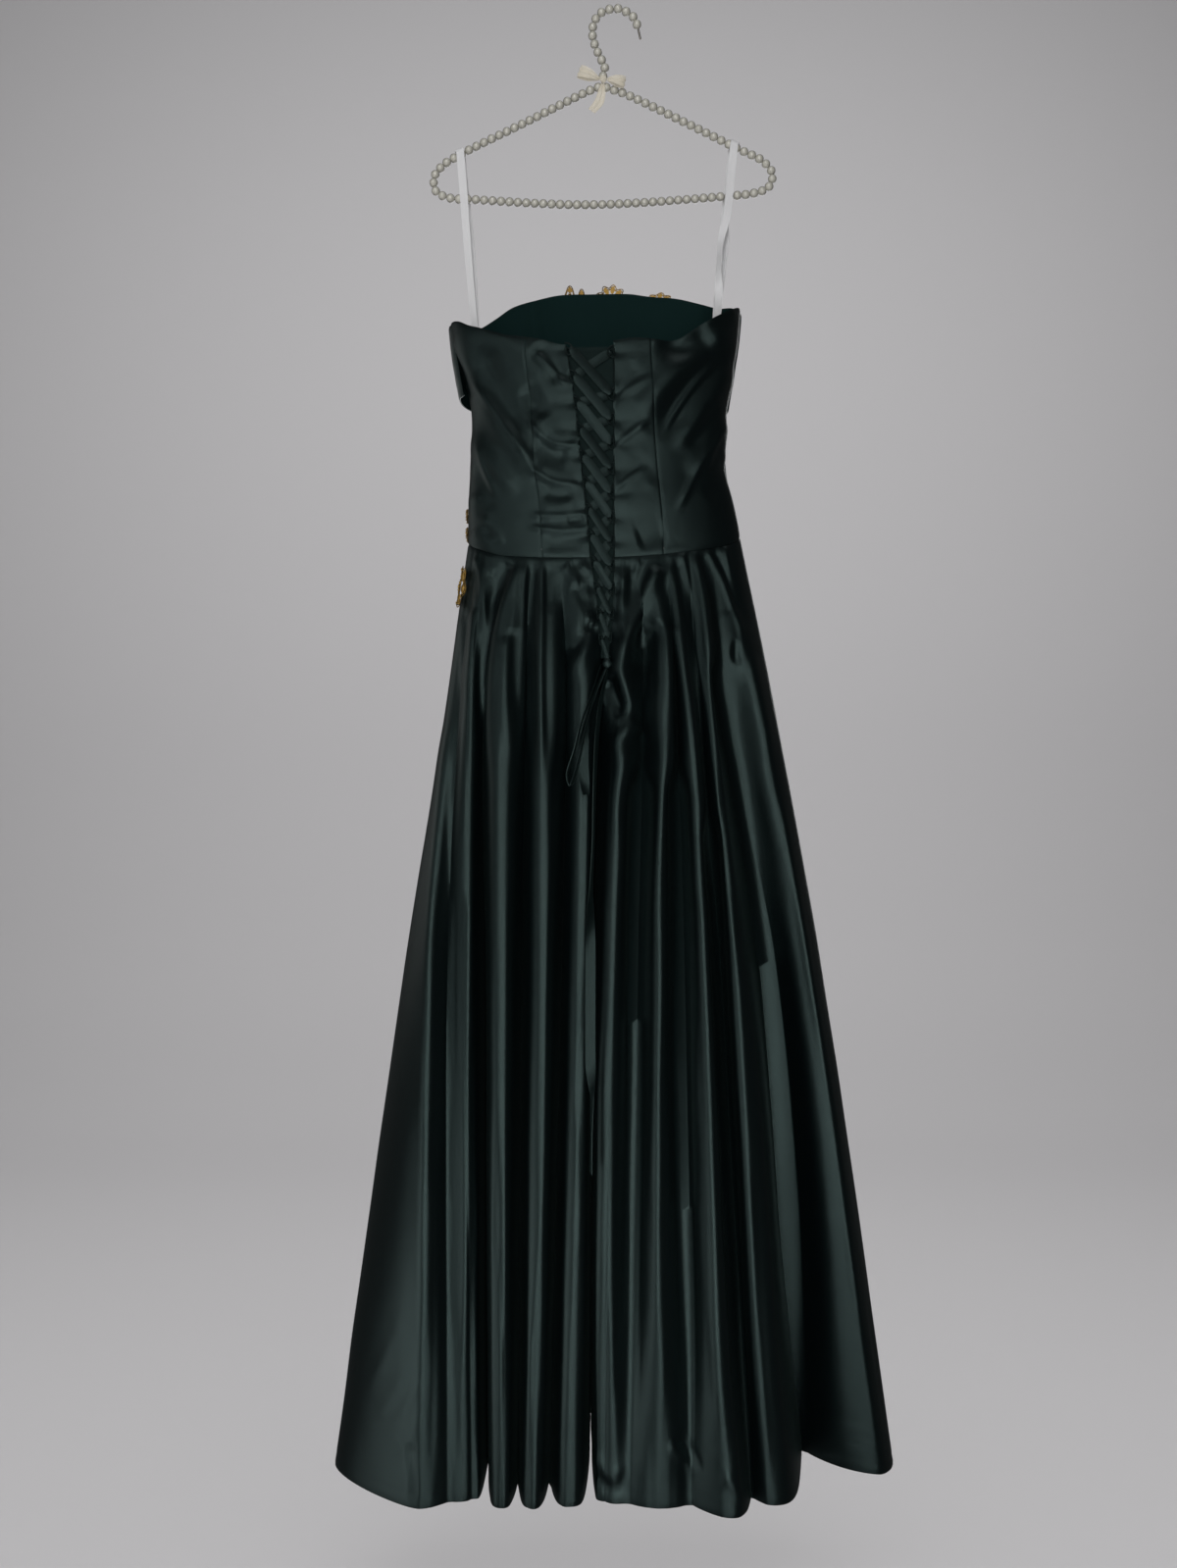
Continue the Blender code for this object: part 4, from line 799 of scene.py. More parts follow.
def rings_mesh(rings, closed=False):
    """Points, faces and map of a tube through rings, capped at its ends."""
    rings = np.asarray(rings)
    count, sides = rings.shape[:2]
    faces = []
    for j in range(count if closed else count - 1):
        low, high = j * sides, ((j + 1) % count) * sides
        for i in range(sides):
            k = (i + 1) % sides
            faces.append([low + i, low + k, high + k, high + i])
    if not closed:
        end = (count - 1) * sides
        faces.append(list(range(sides))[::-1])
        faces.append(list(range(end, end + sides)))
    run = run_length(rings.mean(axis=1)) * MM
    turn = np.linspace(0.0, MAP_ROUND, sides)
    maps = np.stack(np.broadcast_arrays(turn[None, :], run[:, None]), -1)
    return rings.reshape(-1, 3), faces, maps.reshape(-1, 2)


def tube_rings(line, radii, sides):
    """Rings round a line, carried along it without twist."""
    tangent = unit(np.gradient(line, axis=0))
    normal = np.cross(tangent[0], (0.3, 1.0, 0.2))
    rings = []
    turn = full_turn(sides)
    for centre, along_line, radius in zip(line, tangent, np.broadcast_to(radii, len(line))):
        normal = unit(normal - along_line * (normal @ along_line))
        other = np.cross(along_line, normal)
        rings.append(centre + radius * (np.cos(turn)[:, None] * normal
                                        + np.sin(turn)[:, None] * other))
    return rings


def joined_piece(name, parts, mats, node):
    """One object from (points, faces, map) parts, each with the number of its material."""
    points, faces, kinds, maps, shift = [], [], [], [], 0
    for (part_points, part_faces, part_map), kind in parts:
        points.append(part_points)
        maps.append(part_map)
        faces.extend([[v + shift for v in face] for face in part_faces])
        kinds.extend([kind] * len(part_faces))
        shift += len(part_points)
    return finish_piece(name, np.concatenate(points), faces, mats, kinds, np.concatenate(maps),
                        node)


def wound_knot(name, centre, half, rows, around, dent, finish, node):
    """Ball of wound ribbon; dent says how far it is drawn in at each turn and height."""
    turn = full_turn(around)
    rings = []
    for a in np.linspace(0.03, np.pi - 0.03, rows):
        out = np.stack([np.sin(a) * np.cos(turn), np.sin(a) * np.sin(turn),
                        np.cos(a) * np.ones_like(turn)], -1)
        rings.append(centre + out * (1.0 - dent(turn, a))[:, None] * half)
    points, faces, maps = rings_mesh(rings[::-1])
    return finish_piece(name, points, faces, [finish], None, maps, node)


print("shapes so far: cloth, ribbon, tube, knot")

# %% [markdown]
# ## Creases
#
# A crease is a soft ridge or trough along a drawn line. Each has its own height and width and
# fades at its ends, as pulled satin does. The lines lie where the real cloth is pulled: from
# the side corners of the bodice down to the lacing, and from each pleat down the skirt.


# %% Creases
def crease_lift(x, z, creases, start=0.22, fade=0.25):
    """Height over the plain surface at x and z, summed over all creases."""
    lift = np.zeros(np.shape(x))
    for height, width, points in creases:
        line = np.array([(px, 0.0, pz) for px, pz in points])
        if len(line) > 2:
            line = smooth_line(line, 5)
        line = line[:, (0, 2)]
        run = run_length(line)
        reach = 3.2 * width
        low, high = line.min(axis=0) - reach, line.max(axis=0) + reach
        near = (x > low[0]) & (x < high[0]) & (z > low[1]) & (z < high[1])
        if not near.any():
            continue
        px, pz = x[near], z[near]
        best = np.full(px.shape, 1e9)
        place = np.zeros(px.shape)
        for k in range(len(line) - 1):
            (ax, az), (bx, bz) = line[k], line[k + 1]
            dx, dz = bx - ax, bz - az
            f = np.clip(((px - ax) * dx + (pz - az) * dz) / (dx * dx + dz * dz), 0.0, 1.0)
            distance = np.hypot(px - ax - f * dx, pz - az - f * dz)
            closer = distance < best
            best = np.where(closer, distance, best)
            place = np.where(closer, (run[k] + f * (run[k + 1] - run[k])) / run[-1], place)
        ends = ease(place / start) * ease((1.0 - place) / fade)
        lift[near] += height * ends * falloff(best, width)
    return lift


def soft_noise(u, v, seed, octaves=2):
    """Smooth seeded noise between -1 and 1 for gentle unevenness of the cloth."""
    total = np.zeros(np.shape(u))
    for octave in range(octaves):
        table = np.random.RandomState(seed + octave).uniform(-1.0, 1.0, (64, 64))
        a, b = u * 2.0 ** octave, v * 2.0 ** octave
        i, j = np.floor(a).astype(int), np.floor(b).astype(int)
        f, g = ease(a - i), ease(b - j)
        corner = [table[(i + p) % 64, (j + q) % 64] for p in (0, 1) for q in (0, 1)]
        low = corner[0] * (1.0 - g) + corner[1] * g
        high = corner[2] * (1.0 - g) + corner[3] * g
        total += (low * (1.0 - f) + high * f) * 0.5 ** octave
    return total / 1.5


test = crease_lift(np.zeros(1), np.zeros(1), ((2.0, 4.0, ((-20, 0), (20, 0))),))
print("a crease of 2 mm is", round(float(test[0]), 2), "mm high at its middle")

# %% [markdown]
# ## Bodice back
#
# The bodice is cut in panels with shaping seams. It is drawn tight by the lacing, so its
# satin pulls into long slanting folds from the side corners towards the middle, and into
# short puckers at each loop. The columns of the table are height of the crease over the
# plain cloth (less than 0 for a trough), its width, and the points of its line.

# %% Creases of the bodice back
BACK_CREASES = (
    (2.0, 3.6, ((-91, -402), (-73, -423), (-53, -447))),
    (2.0, 3.8, ((-100, -478), (-72, -505), (-34, -508))),
    (2.0, 4.0, ((-102, -528), (-68, -548), (-32, -551))),
    (1.6, 3.8, ((-100, -583), (-60, -585), (-24, -581))),
    (1.7, 3.8, ((-100, -595), (-60, -602), (-22, -598))),
    (2.2, 4.2, ((-163, -423), (-134, -466), (-101, -515), (-90, -536))),
    (1.2, 5.0, ((-155, -579), (-134, -601), (-125, -618))),
    (1.6, 3.6, ((-158, -494), (-148, -530), (-132, -562))),
    (2.7, 4.2, ((117, -405), (87, -437), (60, -477), (49, -499))),
    (2.0, 4.2, ((108, -499), (92, -526), (74, -563), (65, -579))),
    (1.6, 3.8, ((124, -470), (110, -500), (96, -540))),
    (1.5, 4.0, ((-14, -521), (8, -501), (38, -478))),
    (1.4, 4.0, ((-14, -472), (10, -450), (40, -430))),
    (1.4, 4.0, ((-14, -566), (8, -548), (36, -528))),
    (4.0, 12.1, ((-182, -362), (-170, -400), (-152, -440), (-134, -474), (-112, -508),
                 (-94, -530), (-70, -540))),
    (-3.6, 14.3, ((-152, -392), (-136, -432), (-118, -470), (-104, -496))),
    (2.4, 13.2, ((-178, -368), (-155, -384), (-128, -392), (-104, -402), (-80, -424),
                 (-62, -450))),
    (-3.0, 12.1, ((-92, -396), (-74, -418), (-58, -440))),
    (-3.2, 11.0, ((-104, -440), (-92, -462), (-78, -480))),
    (1.7, 8.8, ((-92, -464), (-80, -484), (-66, -498), (-50, -504))),
    (-2.0, 11.9, ((-90, -500), (-72, -514), (-52, -522))),
    (1.4, 8.1, ((-92, -532), (-74, -536), (-58, -544), (-42, -548))),
    (-1.4, 6.1, ((-84, -556), (-66, -562), (-46, -560))),
    (1.3, 8.8, ((-86, -574), (-66, -576), (-40, -572))),
    (-1.4, 5.4, ((-56, -590), (-46, -588), (-36, -584))),
    (1.2, 7.4, ((-84, -594), (-62, -598), (-38, -594))),
    (-1.4, 11.9, ((-84, -614), (-60, -614), (-34, -612))),
    (2.2, 9.0, ((-166, -480), (-150, -508), (-128, -536), (-108, -562))),
    (-1.1, 9.5, ((-160, -520), (-148, -548), (-134, -580))),
    (1.3, 8.1, ((-164, -548), (-152, -574), (-138, -598))),
    (-1.0, 5.4, ((-158, -560), (-148, -584), (-136, -606))),
    (1.1, 8.1, ((-164, -592), (-150, -606), (-132, -618))),
    (4.2, 14.3, ((134, -352), (112, -386), (84, -412), (56, -436), (34, -462), (8, -492))),
    (3.0, 8.0, ((138, -346), (112, -358), (88, -372))),
    (-5.0, 14.3, ((48, -384), (66, -400), (88, -398), (108, -380))),
    (-4.0, 14.3, ((128, -384), (104, -416), (76, -446), (60, -478), (54, -508))),
    (3.8, 12.1, ((132, -400), (112, -440), (88, -480), (60, -512))),
    (-2.2, 9.0, ((112, -452), (96, -482), (78, -512))),
    (2.6, 12.1, ((130, -462), (104, -502), (78, -542))),
    (-2.0, 11.0, ((128, -508), (118, -536), (100, -566))),
    (-0.6, 12.0, ((-2, -450), (10, -434), (24, -420))),
    (-0.6, 12.0, ((-2, -492), (10, -478), (26, -462))),
    (0.8, 11.3, ((-2, -520), (18, -502), (36, -484))),
    (-0.9, 11.9, ((-2, -552), (16, -538), (34, -516))),
    (1.4, 11.0, ((0, -580), (24, -564), (44, -540))),
    (-2.4, 13.2, ((20, -612), (36, -606), (56, -600))),
)
FRONT_CREASES = (
    (2.0, 9.0, ((-120, -470), (-100, -520), (-92, -580))),
    (-1.6, 8.0, ((-60, -470), (-52, -530), (-55, -590))),
    (1.8, 10.0, ((90, -470), (70, -520), (52, -585))),
    (-1.6, 7.0, ((120, -500), (100, -540), (82, -585))),
    (1.4, 8.0, ((-20, -480), (-25, -530), (-18, -590))),
)
print("creases on the back:", len(BACK_CREASES), "and on the front:", len(FRONT_CREASES))

# %% Lacing loops along the edges
LEFT_LOOP_Z = -404.0
LEFT_LOOP_PITCH = 28.9
RIGHT_FIRST_Z = -407.0
RIGHT_LOOP_Z = -453.0
RIGHT_LOOP_PITCH = 26.6
TOP_STRIPS = 12
CORD_LOOP_DEPTH = -0.4
LACE_LAYER = 1.8
TURN_INSET = 2.5
TURN_INSET_WIDE = 3.8
CORD_LOOP_SHORT = 3.4
CORD_LOOP_LONG = 6.5
LEFT_LOOPS = [LEFT_LOOP_Z - LEFT_LOOP_PITCH * k for k in range(TOP_STRIPS)]
RIGHT_LOOPS = [RIGHT_FIRST_Z] + [RIGHT_LOOP_Z - RIGHT_LOOP_PITCH * k for k in range(TOP_STRIPS)]
PULL_DEPTH = 2.4
PULL_WIDTH = 6.0
PULL_REACH = 12.0
PULL_RANGE = 14.5
SCALLOP = 2.4
SCALLOP_WIDTH = 6.5
SCALLOP_MIDDLE = 0.45
OPENING_TOP = -390.0


def loop_pull(x, z):
    """Short puckers that each lacing loop pulls into the cloth beside the opening."""
    lift = np.zeros(np.shape(x))
    for loops, edge, side in ((LEFT_LOOPS, placket_left, -1.0), (RIGHT_LOOPS, placket_right, 1.0)):
        away = (x - edge(z)) * side
        fade = np.exp(-np.clip(away, 0.0, None) / PULL_REACH) * (away > -1.0)
        for height in loops:
            pulled = falloff(z - height, PULL_WIDTH)
            local = np.exp(-(((z - height) / PULL_RANGE) ** 4))
            lift += (0.5 - pulled) * PULL_DEPTH * fade * local
    return lift


print("loops from", LEFT_LOOPS[0], "down to", round(LEFT_LOOPS[-1], 1), "mm")

# %% [markdown]
# The back's upper left corner isn't held by the band behind it: it stands out from the
# side as a soft wing. The panels also turn inwards at their seams, which makes the fine
# groove of a pressed seam.

# %% Bodice panels
WING_LIFT = 7.0
WING_START_X = -135.0
WING_START_Z = -425.0
SEAM_ROLL = 0.35
SEAM_ROLL_WIDTH = 1.0
SIDE_DEPTH = 58.0
EDGE_WIDTH = 1.6
UNEVEN = 0.5
BODICE_CLOTH = 1.2
BACK_ROWS = 130
FRONT_ROWS = 90


def seam_edge(table, on_back, side):
    """Panel edge on a shaping seam, half the seam gap to one side."""
    line = curve(table)
    half = side * SEAM_GAP / 2.0 * (1.0 if on_back else -1.0)
    return lambda z: angle_at(line(z) + half, z, on_back)


def side_edge(angle, side):
    """Panel edge on a side seam, half the seam gap to one side."""
    return lambda z: np.full(np.shape(z), angle + side * SEAM_GAP / 2.0 / SIDE_DEPTH)


def placket_edge(line, loops, side):
    """Edge of the opening, which bulges a little between the loops that pull it."""
    def place(z):
        pulled = sum(falloff(z - height, SCALLOP_WIDTH) for height in loops)
        bulge = SCALLOP * (SCALLOP_MIDDLE - pulled) * (z < OPENING_TOP)
        return angle_at(line(z) + side * bulge, z, True)
    return place


def panel_places(first, last, columns, rows, short=0.0):
    """Angles and heights of a panel's grid between two edges, from waist to neckline."""
    u = np.linspace(0.0, 1.0, columns + 1)[None, :]
    f = np.linspace(0.0, 1.0, rows + 1)[:, None]
    z = np.full((rows + 1, columns + 1), -500.0)
    for _ in range(6):
        angle = first(z) * (1.0 - u) + last(z) * u
        low = waist_z(angle) + short
        z = low + (top_z(angle) - short - low) * f
    return first(z) * (1.0 - u) + last(z) * u, z


def edge_distance(grid):
    """Distance of each point from the nearer of a grid's two side edges."""
    steps = np.linalg.norm(np.diff(grid, axis=1), axis=-1)
    run = np.concatenate([np.zeros((grid.shape[0], 1)), np.cumsum(steps, axis=1)], 1)
    return np.minimum(run, run[:, -1:] - run)


def bodice_panel(name, first, last, columns, on_back):
    """Panel between two edges, with its creases, its seam rolls and its turned edges."""
    rows = BACK_ROWS if on_back else FRONT_ROWS
    angle, z = panel_places(first, last, columns, rows)
    flat = bodice_point(angle, z)
    x = flat[..., 0]
    lift = crease_lift(x, z, BACK_CREASES if on_back else FRONT_CREASES)
    if on_back:
        lift += loop_pull(x, z)
        outwards = ease((WING_START_X - x) / 45.0)
        lift += WING_LIFT * outwards * ease((z - WING_START_Z) / 55.0)
    lift += UNEVEN * soft_noise(x / 26.0, z / 46.0, 3)
    from_waist = z - waist_z(angle)
    lift *= ease((from_waist + 2.0) / 14.0)
    lift -= SEAM_ROLL * falloff(edge_distance(flat), SEAM_ROLL_WIDTH)
    lift -= 0.7 * falloff(from_waist, EDGE_WIDTH)
    lift -= 0.6 * falloff(top_z(angle) - z, EDGE_WIDTH)
    grid = bodice_out(angle, z, lift)
    obj = cloth(name + "_cloth", grid, BODICE_CLOTH, name, SATIN_FACE,
                LINING_CLOTH)
    return obj, grid


FULL = 2.0 * math.pi
# Columns: node, first edge, last edge, columns, on the back, width and length of the cut
BODICE_PANELS = (
    ("bodice_front_side_right", side_edge(0.0, 1.0), seam_edge(FRONT_SEAM_RIGHT, False, -1.0),
     48, False, 0.19, 0.33),
    ("bodice_front_centre", seam_edge(FRONT_SEAM_RIGHT, False, 1.0),
     seam_edge(FRONT_SEAM_LEFT, False, -1.0), 42, False, 0.14, 0.33),
    ("bodice_front_side_left", seam_edge(FRONT_SEAM_LEFT, False, 1.0), side_edge(math.pi, -1.0),
     44, False, 0.15, 0.33),
    ("bodice_back_side_left", side_edge(math.pi, 1.0), seam_edge(BACK_SEAM_LEFT, True, -1.0),
     70, True, 0.13, 0.27),
    ("bodice_back_centre_left", seam_edge(BACK_SEAM_LEFT, True, 1.0),
     placket_edge(placket_left, LEFT_LOOPS, 1.0), 36, True, 0.06, 0.25),
    ("bodice_back_centre_right", placket_edge(placket_right, RIGHT_LOOPS, -0.6),
     seam_edge(BACK_SEAM_RIGHT, True, -1.0), 36, True, 0.06, 0.25),
    ("bodice_back_side_right", seam_edge(BACK_SEAM_RIGHT, True, 1.0), side_edge(FULL, -1.0),
     70, True, 0.15, 0.28),
)
for name, first, last, columns, on_back, width, length in BODICE_PANELS:
    obj, grid = bodice_panel(name, first, last, columns, on_back)
    print(name, "area", round(area_of(grid), 4), "m2 of", round(width * length, 4))

# %% [markdown]
# ## Lining and modesty panel
#
# The inside of the front shows over the low back edge. It is a matte woven lining with its
# own shaping seams, which show as faint lines. Behind the lacing lies a panel of the dress's
# satin, so that no skin shows between the ribbons. It has a row of stitches near its top.

# %% Front lining
LINING_SEAMS = (
    (-0.9, 1.6, ((-107, -250), (-104, -300), (-98, -345), (-92, -400), (-84, -600))),
    (-0.9, 1.6, ((14, -250), (16, -300), (19, -345), (22, -400), (22, -600))),
    (1.6, 5.0, ((-100, -285), (-95, -320), (-90, -380))),
    (1.8, 6.0, ((25, -290), (24, -330), (26, -380))),
)
THIN_CLOTH = 0.8
angle, z = panel_places(side_edge(0.0, 6.0), side_edge(math.pi, -6.0), 110, 90, 1.5)
x = bodice_point(angle, z)[..., 0]
lift = crease_lift(x, z, LINING_SEAMS) + UNEVEN * soft_noise(x / 30, z / 50, 9)
grid = bodice_out(angle, z, -SATIN - LAYER_GAP - 0.2 - 0.8 * (lift + 0.6))
lining = cloth("front_lining_cloth", grid, THIN_CLOTH, "front_lining", LINING_CLOTH)
print("lining area", round(area_of(grid), 4))

# %% Modesty panel
MODESTY_TOP = -401.0
MODESTY_BOTTOM = -742.0
MODESTY_DEPTH = 2.6
MODESTY_MARGIN = 12.0
STITCH_Z = -405.5

v = np.linspace(0.0, 1.0, 171)[:, None]
u = np.linspace(0.0, 1.0, 25)[None, :]
z = MODESTY_BOTTOM + (MODESTY_TOP - MODESTY_BOTTOM) * v + 0.0 * u
margin = MODESTY_MARGIN * np.minimum(1.0, 0.35 + (z - MODESTY_BOTTOM) / 260.0)
left, right = placket_left(z) - margin, placket_right(z) + margin
x = left + (right - left) * u
stitched = falloff(z - STITCH_Z, 1.0)
sag = 0.6 * soft_noise(x / 14.0, z / 12.0, 21) + 0.7 * stitched
grid = skin(x, z, MODESTY_DEPTH + 0.2 + np.clip(sag, -0.1, 1.0))
modesty = cloth("modesty_panel_cloth", grid, THIN_CLOTH, "modesty_panel",
                SATIN_BACK)
print("modesty panel area", round(area_of(grid), 4))

# %% [markdown]
# ## Draped bust band
#
# A wide band is draped over the bust in four long soft folds. Its left end is slack: it
# stands out beside the dress and curls in again behind the side, under the back's corner.

# %% Bust band
BAND_TOP_DROP = 2.0
BAND_LOW_LEFT = -441.0
BAND_LOW_RIGHT = -455.0
BAND_MIDDLE_RISE = 6.0
BAND_FOLDS = 4
BAND_FOLD_RISE = 2.2
BAND_FACE_RISE = 3.0
BAND_RIM = 0.02
BAND_CLOTH = 1.1
SLACK_START = math.radians(138.0)
SLACK_LIFT = 7.5
END_CURL = 0.26
BAND_TURN = 190.0


def band_height(angle):
    """Heights of the band's lower and upper edge."""
    low = BAND_LOW_RIGHT + (BAND_LOW_LEFT - BAND_LOW_RIGHT) * angle / np.pi
    return low + BAND_MIDDLE_RISE * np.sin(angle) ** 2, top_z(angle) - BAND_TOP_DROP


def band_lift(angle):
    """How far the slack end stands off the dress, and comes back as it curls in."""
    near = (angle - SLACK_START) / (math.pi - SLACK_START)
    past = np.clip((angle - math.pi) / END_CURL, 0.0, 1.0)
    return SLACK_LIFT * ease(near) * (1.0 - past ** 2)


def band_outside(angle, z, depth=BAND_FOLD_RISE):
    """Distance from the bodice to the band's face: long folds that fade at both edges."""
    low, high = band_height(angle)
    f = np.clip((z - low) / (high - low), 0.0, 1.0)
    drift = 0.05 * np.sin(2.3 * angle) + 0.03 * np.sin(5.1 * angle + 1.0)
    wave = np.sin(np.pi * BAND_FOLDS * (f + drift * f * (1.0 - f) * 4.0)) ** 2
    edge = np.minimum(np.minimum(f, 1.0 - f) * 5.0, 1.0)
    edge = edge * ease(np.sin(angle) * 1.8)
    slack = band_lift(angle) * (1.0 + 0.4 * ease((1.0 - f) * 1.6))
    return LAYER_GAP + slack + SATIN + depth * wave * edge


u = np.linspace(0.0, 1.0, 161)[None, :]
f = np.linspace(0.0, 1.0, 71)[:, None]
angle = math.radians(1.0) + math.radians(BAND_TURN - 1.0) * u + 0.0 * f
low, high = band_height(angle)
z = low + (high - low) * f
rim = falloff(f, BAND_RIM) + falloff(1.0 - f, BAND_RIM)
face = band_outside(angle, z, BAND_FACE_RISE) - 0.7 * rim
grid = bodice_out(angle, z, face + 0.3 * soft_noise(angle * 7.0, z / 20.0, 31))
# The inside takes the lining finish, much paler than the satin, which also works as painted light:
# it lightens the inside face where it shows in shade at the slack end.
band = cloth("bust_band_cloth", grid, BAND_CLOTH, "bust_band", SATIN_FACE,
             LINING_CLOTH)
print("band area", round(area_of(grid), 4))

# %% [markdown]
# ## Skirt
#
# The skirt is three panels, laid in pleats at the waist that open into deep folds down to
# the hem. The pattern gives each fold's ridge or valley from waist to hem. Between them the
# cloth is a smooth curve. On top come the listed creases: sharp pleat starts, a zigzag dent
# beside the end of the lacing, a small pocket-like notch at the right hip, and slow waves
# down to the hem.

# %% Fold lines
WAIST_FIT = 0.08


def fold_line(row, on_back):
    """Waist angle of a fold line, and its stations as rows of height, x and y."""
    _, waist_x, hip_x, hip_y, knee_x, knee_y, hem_x, hem_y = row
    angle = float(angle_at(waist_x, -615.0, on_back))
    start = bodice_point(angle, waist_z(angle))
    return angle, [
        (start[2] - WAIST_GAP, start[0], start[1]),
        (HIP_Z, hip_x, hip_y),
        (KNEE_Z, knee_x, knee_y),
        (HEM_Z, hem_x, hem_y),
    ]


def centre_back_line(column):
    """Fold line on one edge of the laced opening and, below that, of the centre back seam."""
    side = -1.0 if column == 1 else 1.0
    angle = float(angle_at(read_table(PLACKET, WAIST_BACK_Z, column), WAIST_BACK_Z, True))
    start = bodice_point(angle, waist_z(angle))
    stations = [(start[2] - WAIST_GAP, start[0], start[1])]
    for z in (-655.0, -680.0, -705.0, -731.0, -750.0, -764.0, HIP_Z):
        stations.append((z, read_table(PLACKET, z, column), read_table(CENTRE_BACK, z, 2)))
    for z in (-782.0, -800.0, -840.0, -900.0, -990.0, KNEE_Z, -1220.0, -1370.0, -1520.0, HEM_Z):
        x = read_table(CENTRE_BACK, z, 1) + side * (WAIST_GAP / 2.0)
        stations.append((z, x, read_table(CENTRE_BACK, z, 2)))
    return angle, stations


RIGHT_LINES = [centre_back_line(2)] + [fold_line(row, True) for row in BACK_RIGHT_FOLDS]
FRONT_LINES = [fold_line(row, False) for row in FRONT_FOLDS]
LEFT_LINES = [fold_line(row, True) for row in BACK_LEFT_FOLDS] + [centre_back_line(1)]
SKIRT_LINES = (
    RIGHT_LINES + [fold_line(RIGHT_SIDE, False)] + FRONT_LINES + [fold_line(LEFT_SIDE, False)]
    + LEFT_LINES
)
RIGHT_SEAM = len(RIGHT_LINES)
LEFT_SEAM = RIGHT_SEAM + len(FRONT_LINES) + 1
LAST_LINE = len(SKIRT_LINES) - 1
WAIST_ANGLES = []
for turn, stations in SKIRT_LINES:
    while WAIST_ANGLES and turn < WAIST_ANGLES[-1] - 0.0001:
        turn += FULL
    WAIST_ANGLES.append(turn)
# Cloth bends softly over a ridge and nips sharply into a valley
VALLEY_SHARPNESS = 0.92
VALLEY_POWER = 1.5
DEEP_VALLEY_POWER = 1.1
# A ridge is 1, a valley -1, and a side seam neither
KINDS = [[1 if "ridge" in row[0] else -1 for row in rows] for rows in FOLD_TABLES]
FOLD_KINDS = [-1] + KINDS[0] + [0] + KINDS[1] + [0] + KINDS[2] + [-1]
print("fold lines:", len(SKIRT_LINES))


def on_back(i):
    """Whether the cloth after this fold line is on the skirt's back."""
    return i < RIGHT_SEAM or i >= LEFT_SEAM


def lines_at_waist(i):
    """The four fold lines round a place, at the waist."""
    tops = [np.array([[s[0][1], s[0][2], s[0][0]]]) for _, s in SKIRT_LINES]
    tops = [2.0 * tops[0] - tops[1]] + tops + [2.0 * tops[-1] - tops[-2]]
    return tops[i:i + 4]


def nipped(ridge, valley, away, back, sharp, plain):
    """How far to move a fold's plain depth, so that it nips sharply into its valley."""
    fall = (valley[:, 1] - ridge[:, 1]) * (1.0 if back else -1.0)
    steep = np.clip(fall / np.abs(valley[:, 0] - ridge[:, 0]), 0.0, 4.0)
    power = VALLEY_POWER + DEEP_VALLEY_POWER * steep
    depth = ridge[:, 1] + (valley[:, 1] - ridge[:, 1]) * away ** power
    return (depth - plain) * (sharp * ease(fall / 12.0))


def skirt_grid(places, heights):
    """Skirt points for places counted in fold lines, and heights from 0, waist, to 1, hem."""
    lines = []
    for _, stations in SKIRT_LINES:
        top = stations[0][0]
        z = top + (HEM_Z - top) * heights
        x = np.array([read_table(stations, value, 1) for value in z])
        y = np.array([read_table(stations, value, 2) for value in z])
        lines.append(np.stack([x, y, z], -1))
    lines = np.array(lines)
    lines = np.concatenate([2.0 * lines[:1] - lines[1:2], lines, 2.0 * lines[-1:] - lines[-2:-1]])
    grid = np.empty((len(heights), len(places), 3))
    share = np.clip(1.0 - heights / WAIST_FIT, 0.0, 1.0) ** 2
    sharp = VALLEY_SHARPNESS * ease((heights - 0.01) / 0.05)
    for column, place in enumerate(places):
        i = min(int(place), LAST_LINE - 1)
        f = place - i
        grid[:, column] = blend4(*lines[i:i + 4], f)
        if FOLD_KINDS[i] * FOLD_KINDS[i + 1] < 0:
            ridge, valley, away = lines[i + 1], lines[i + 2], f
            if FOLD_KINDS[i] < 0:
                ridge, valley, away = valley, ridge, 1.0 - f
            plain = grid[:, column, 1].copy()
            grid[:, column, 1] += nipped(ridge, valley, away, on_back(i), sharp, plain)
        turn = WAIST_ANGLES[i] * (1.0 - f) + WAIST_ANGLES[i + 1] * f
        seam_point = bodice_point(turn, waist_z(turn)) - (0.0, 0.0, WAIST_GAP)
        at_waist = blend4(*lines_at_waist(i), f)[0]
        grid[:, column] += (seam_point - at_waist) * share[:, None]
    return grid


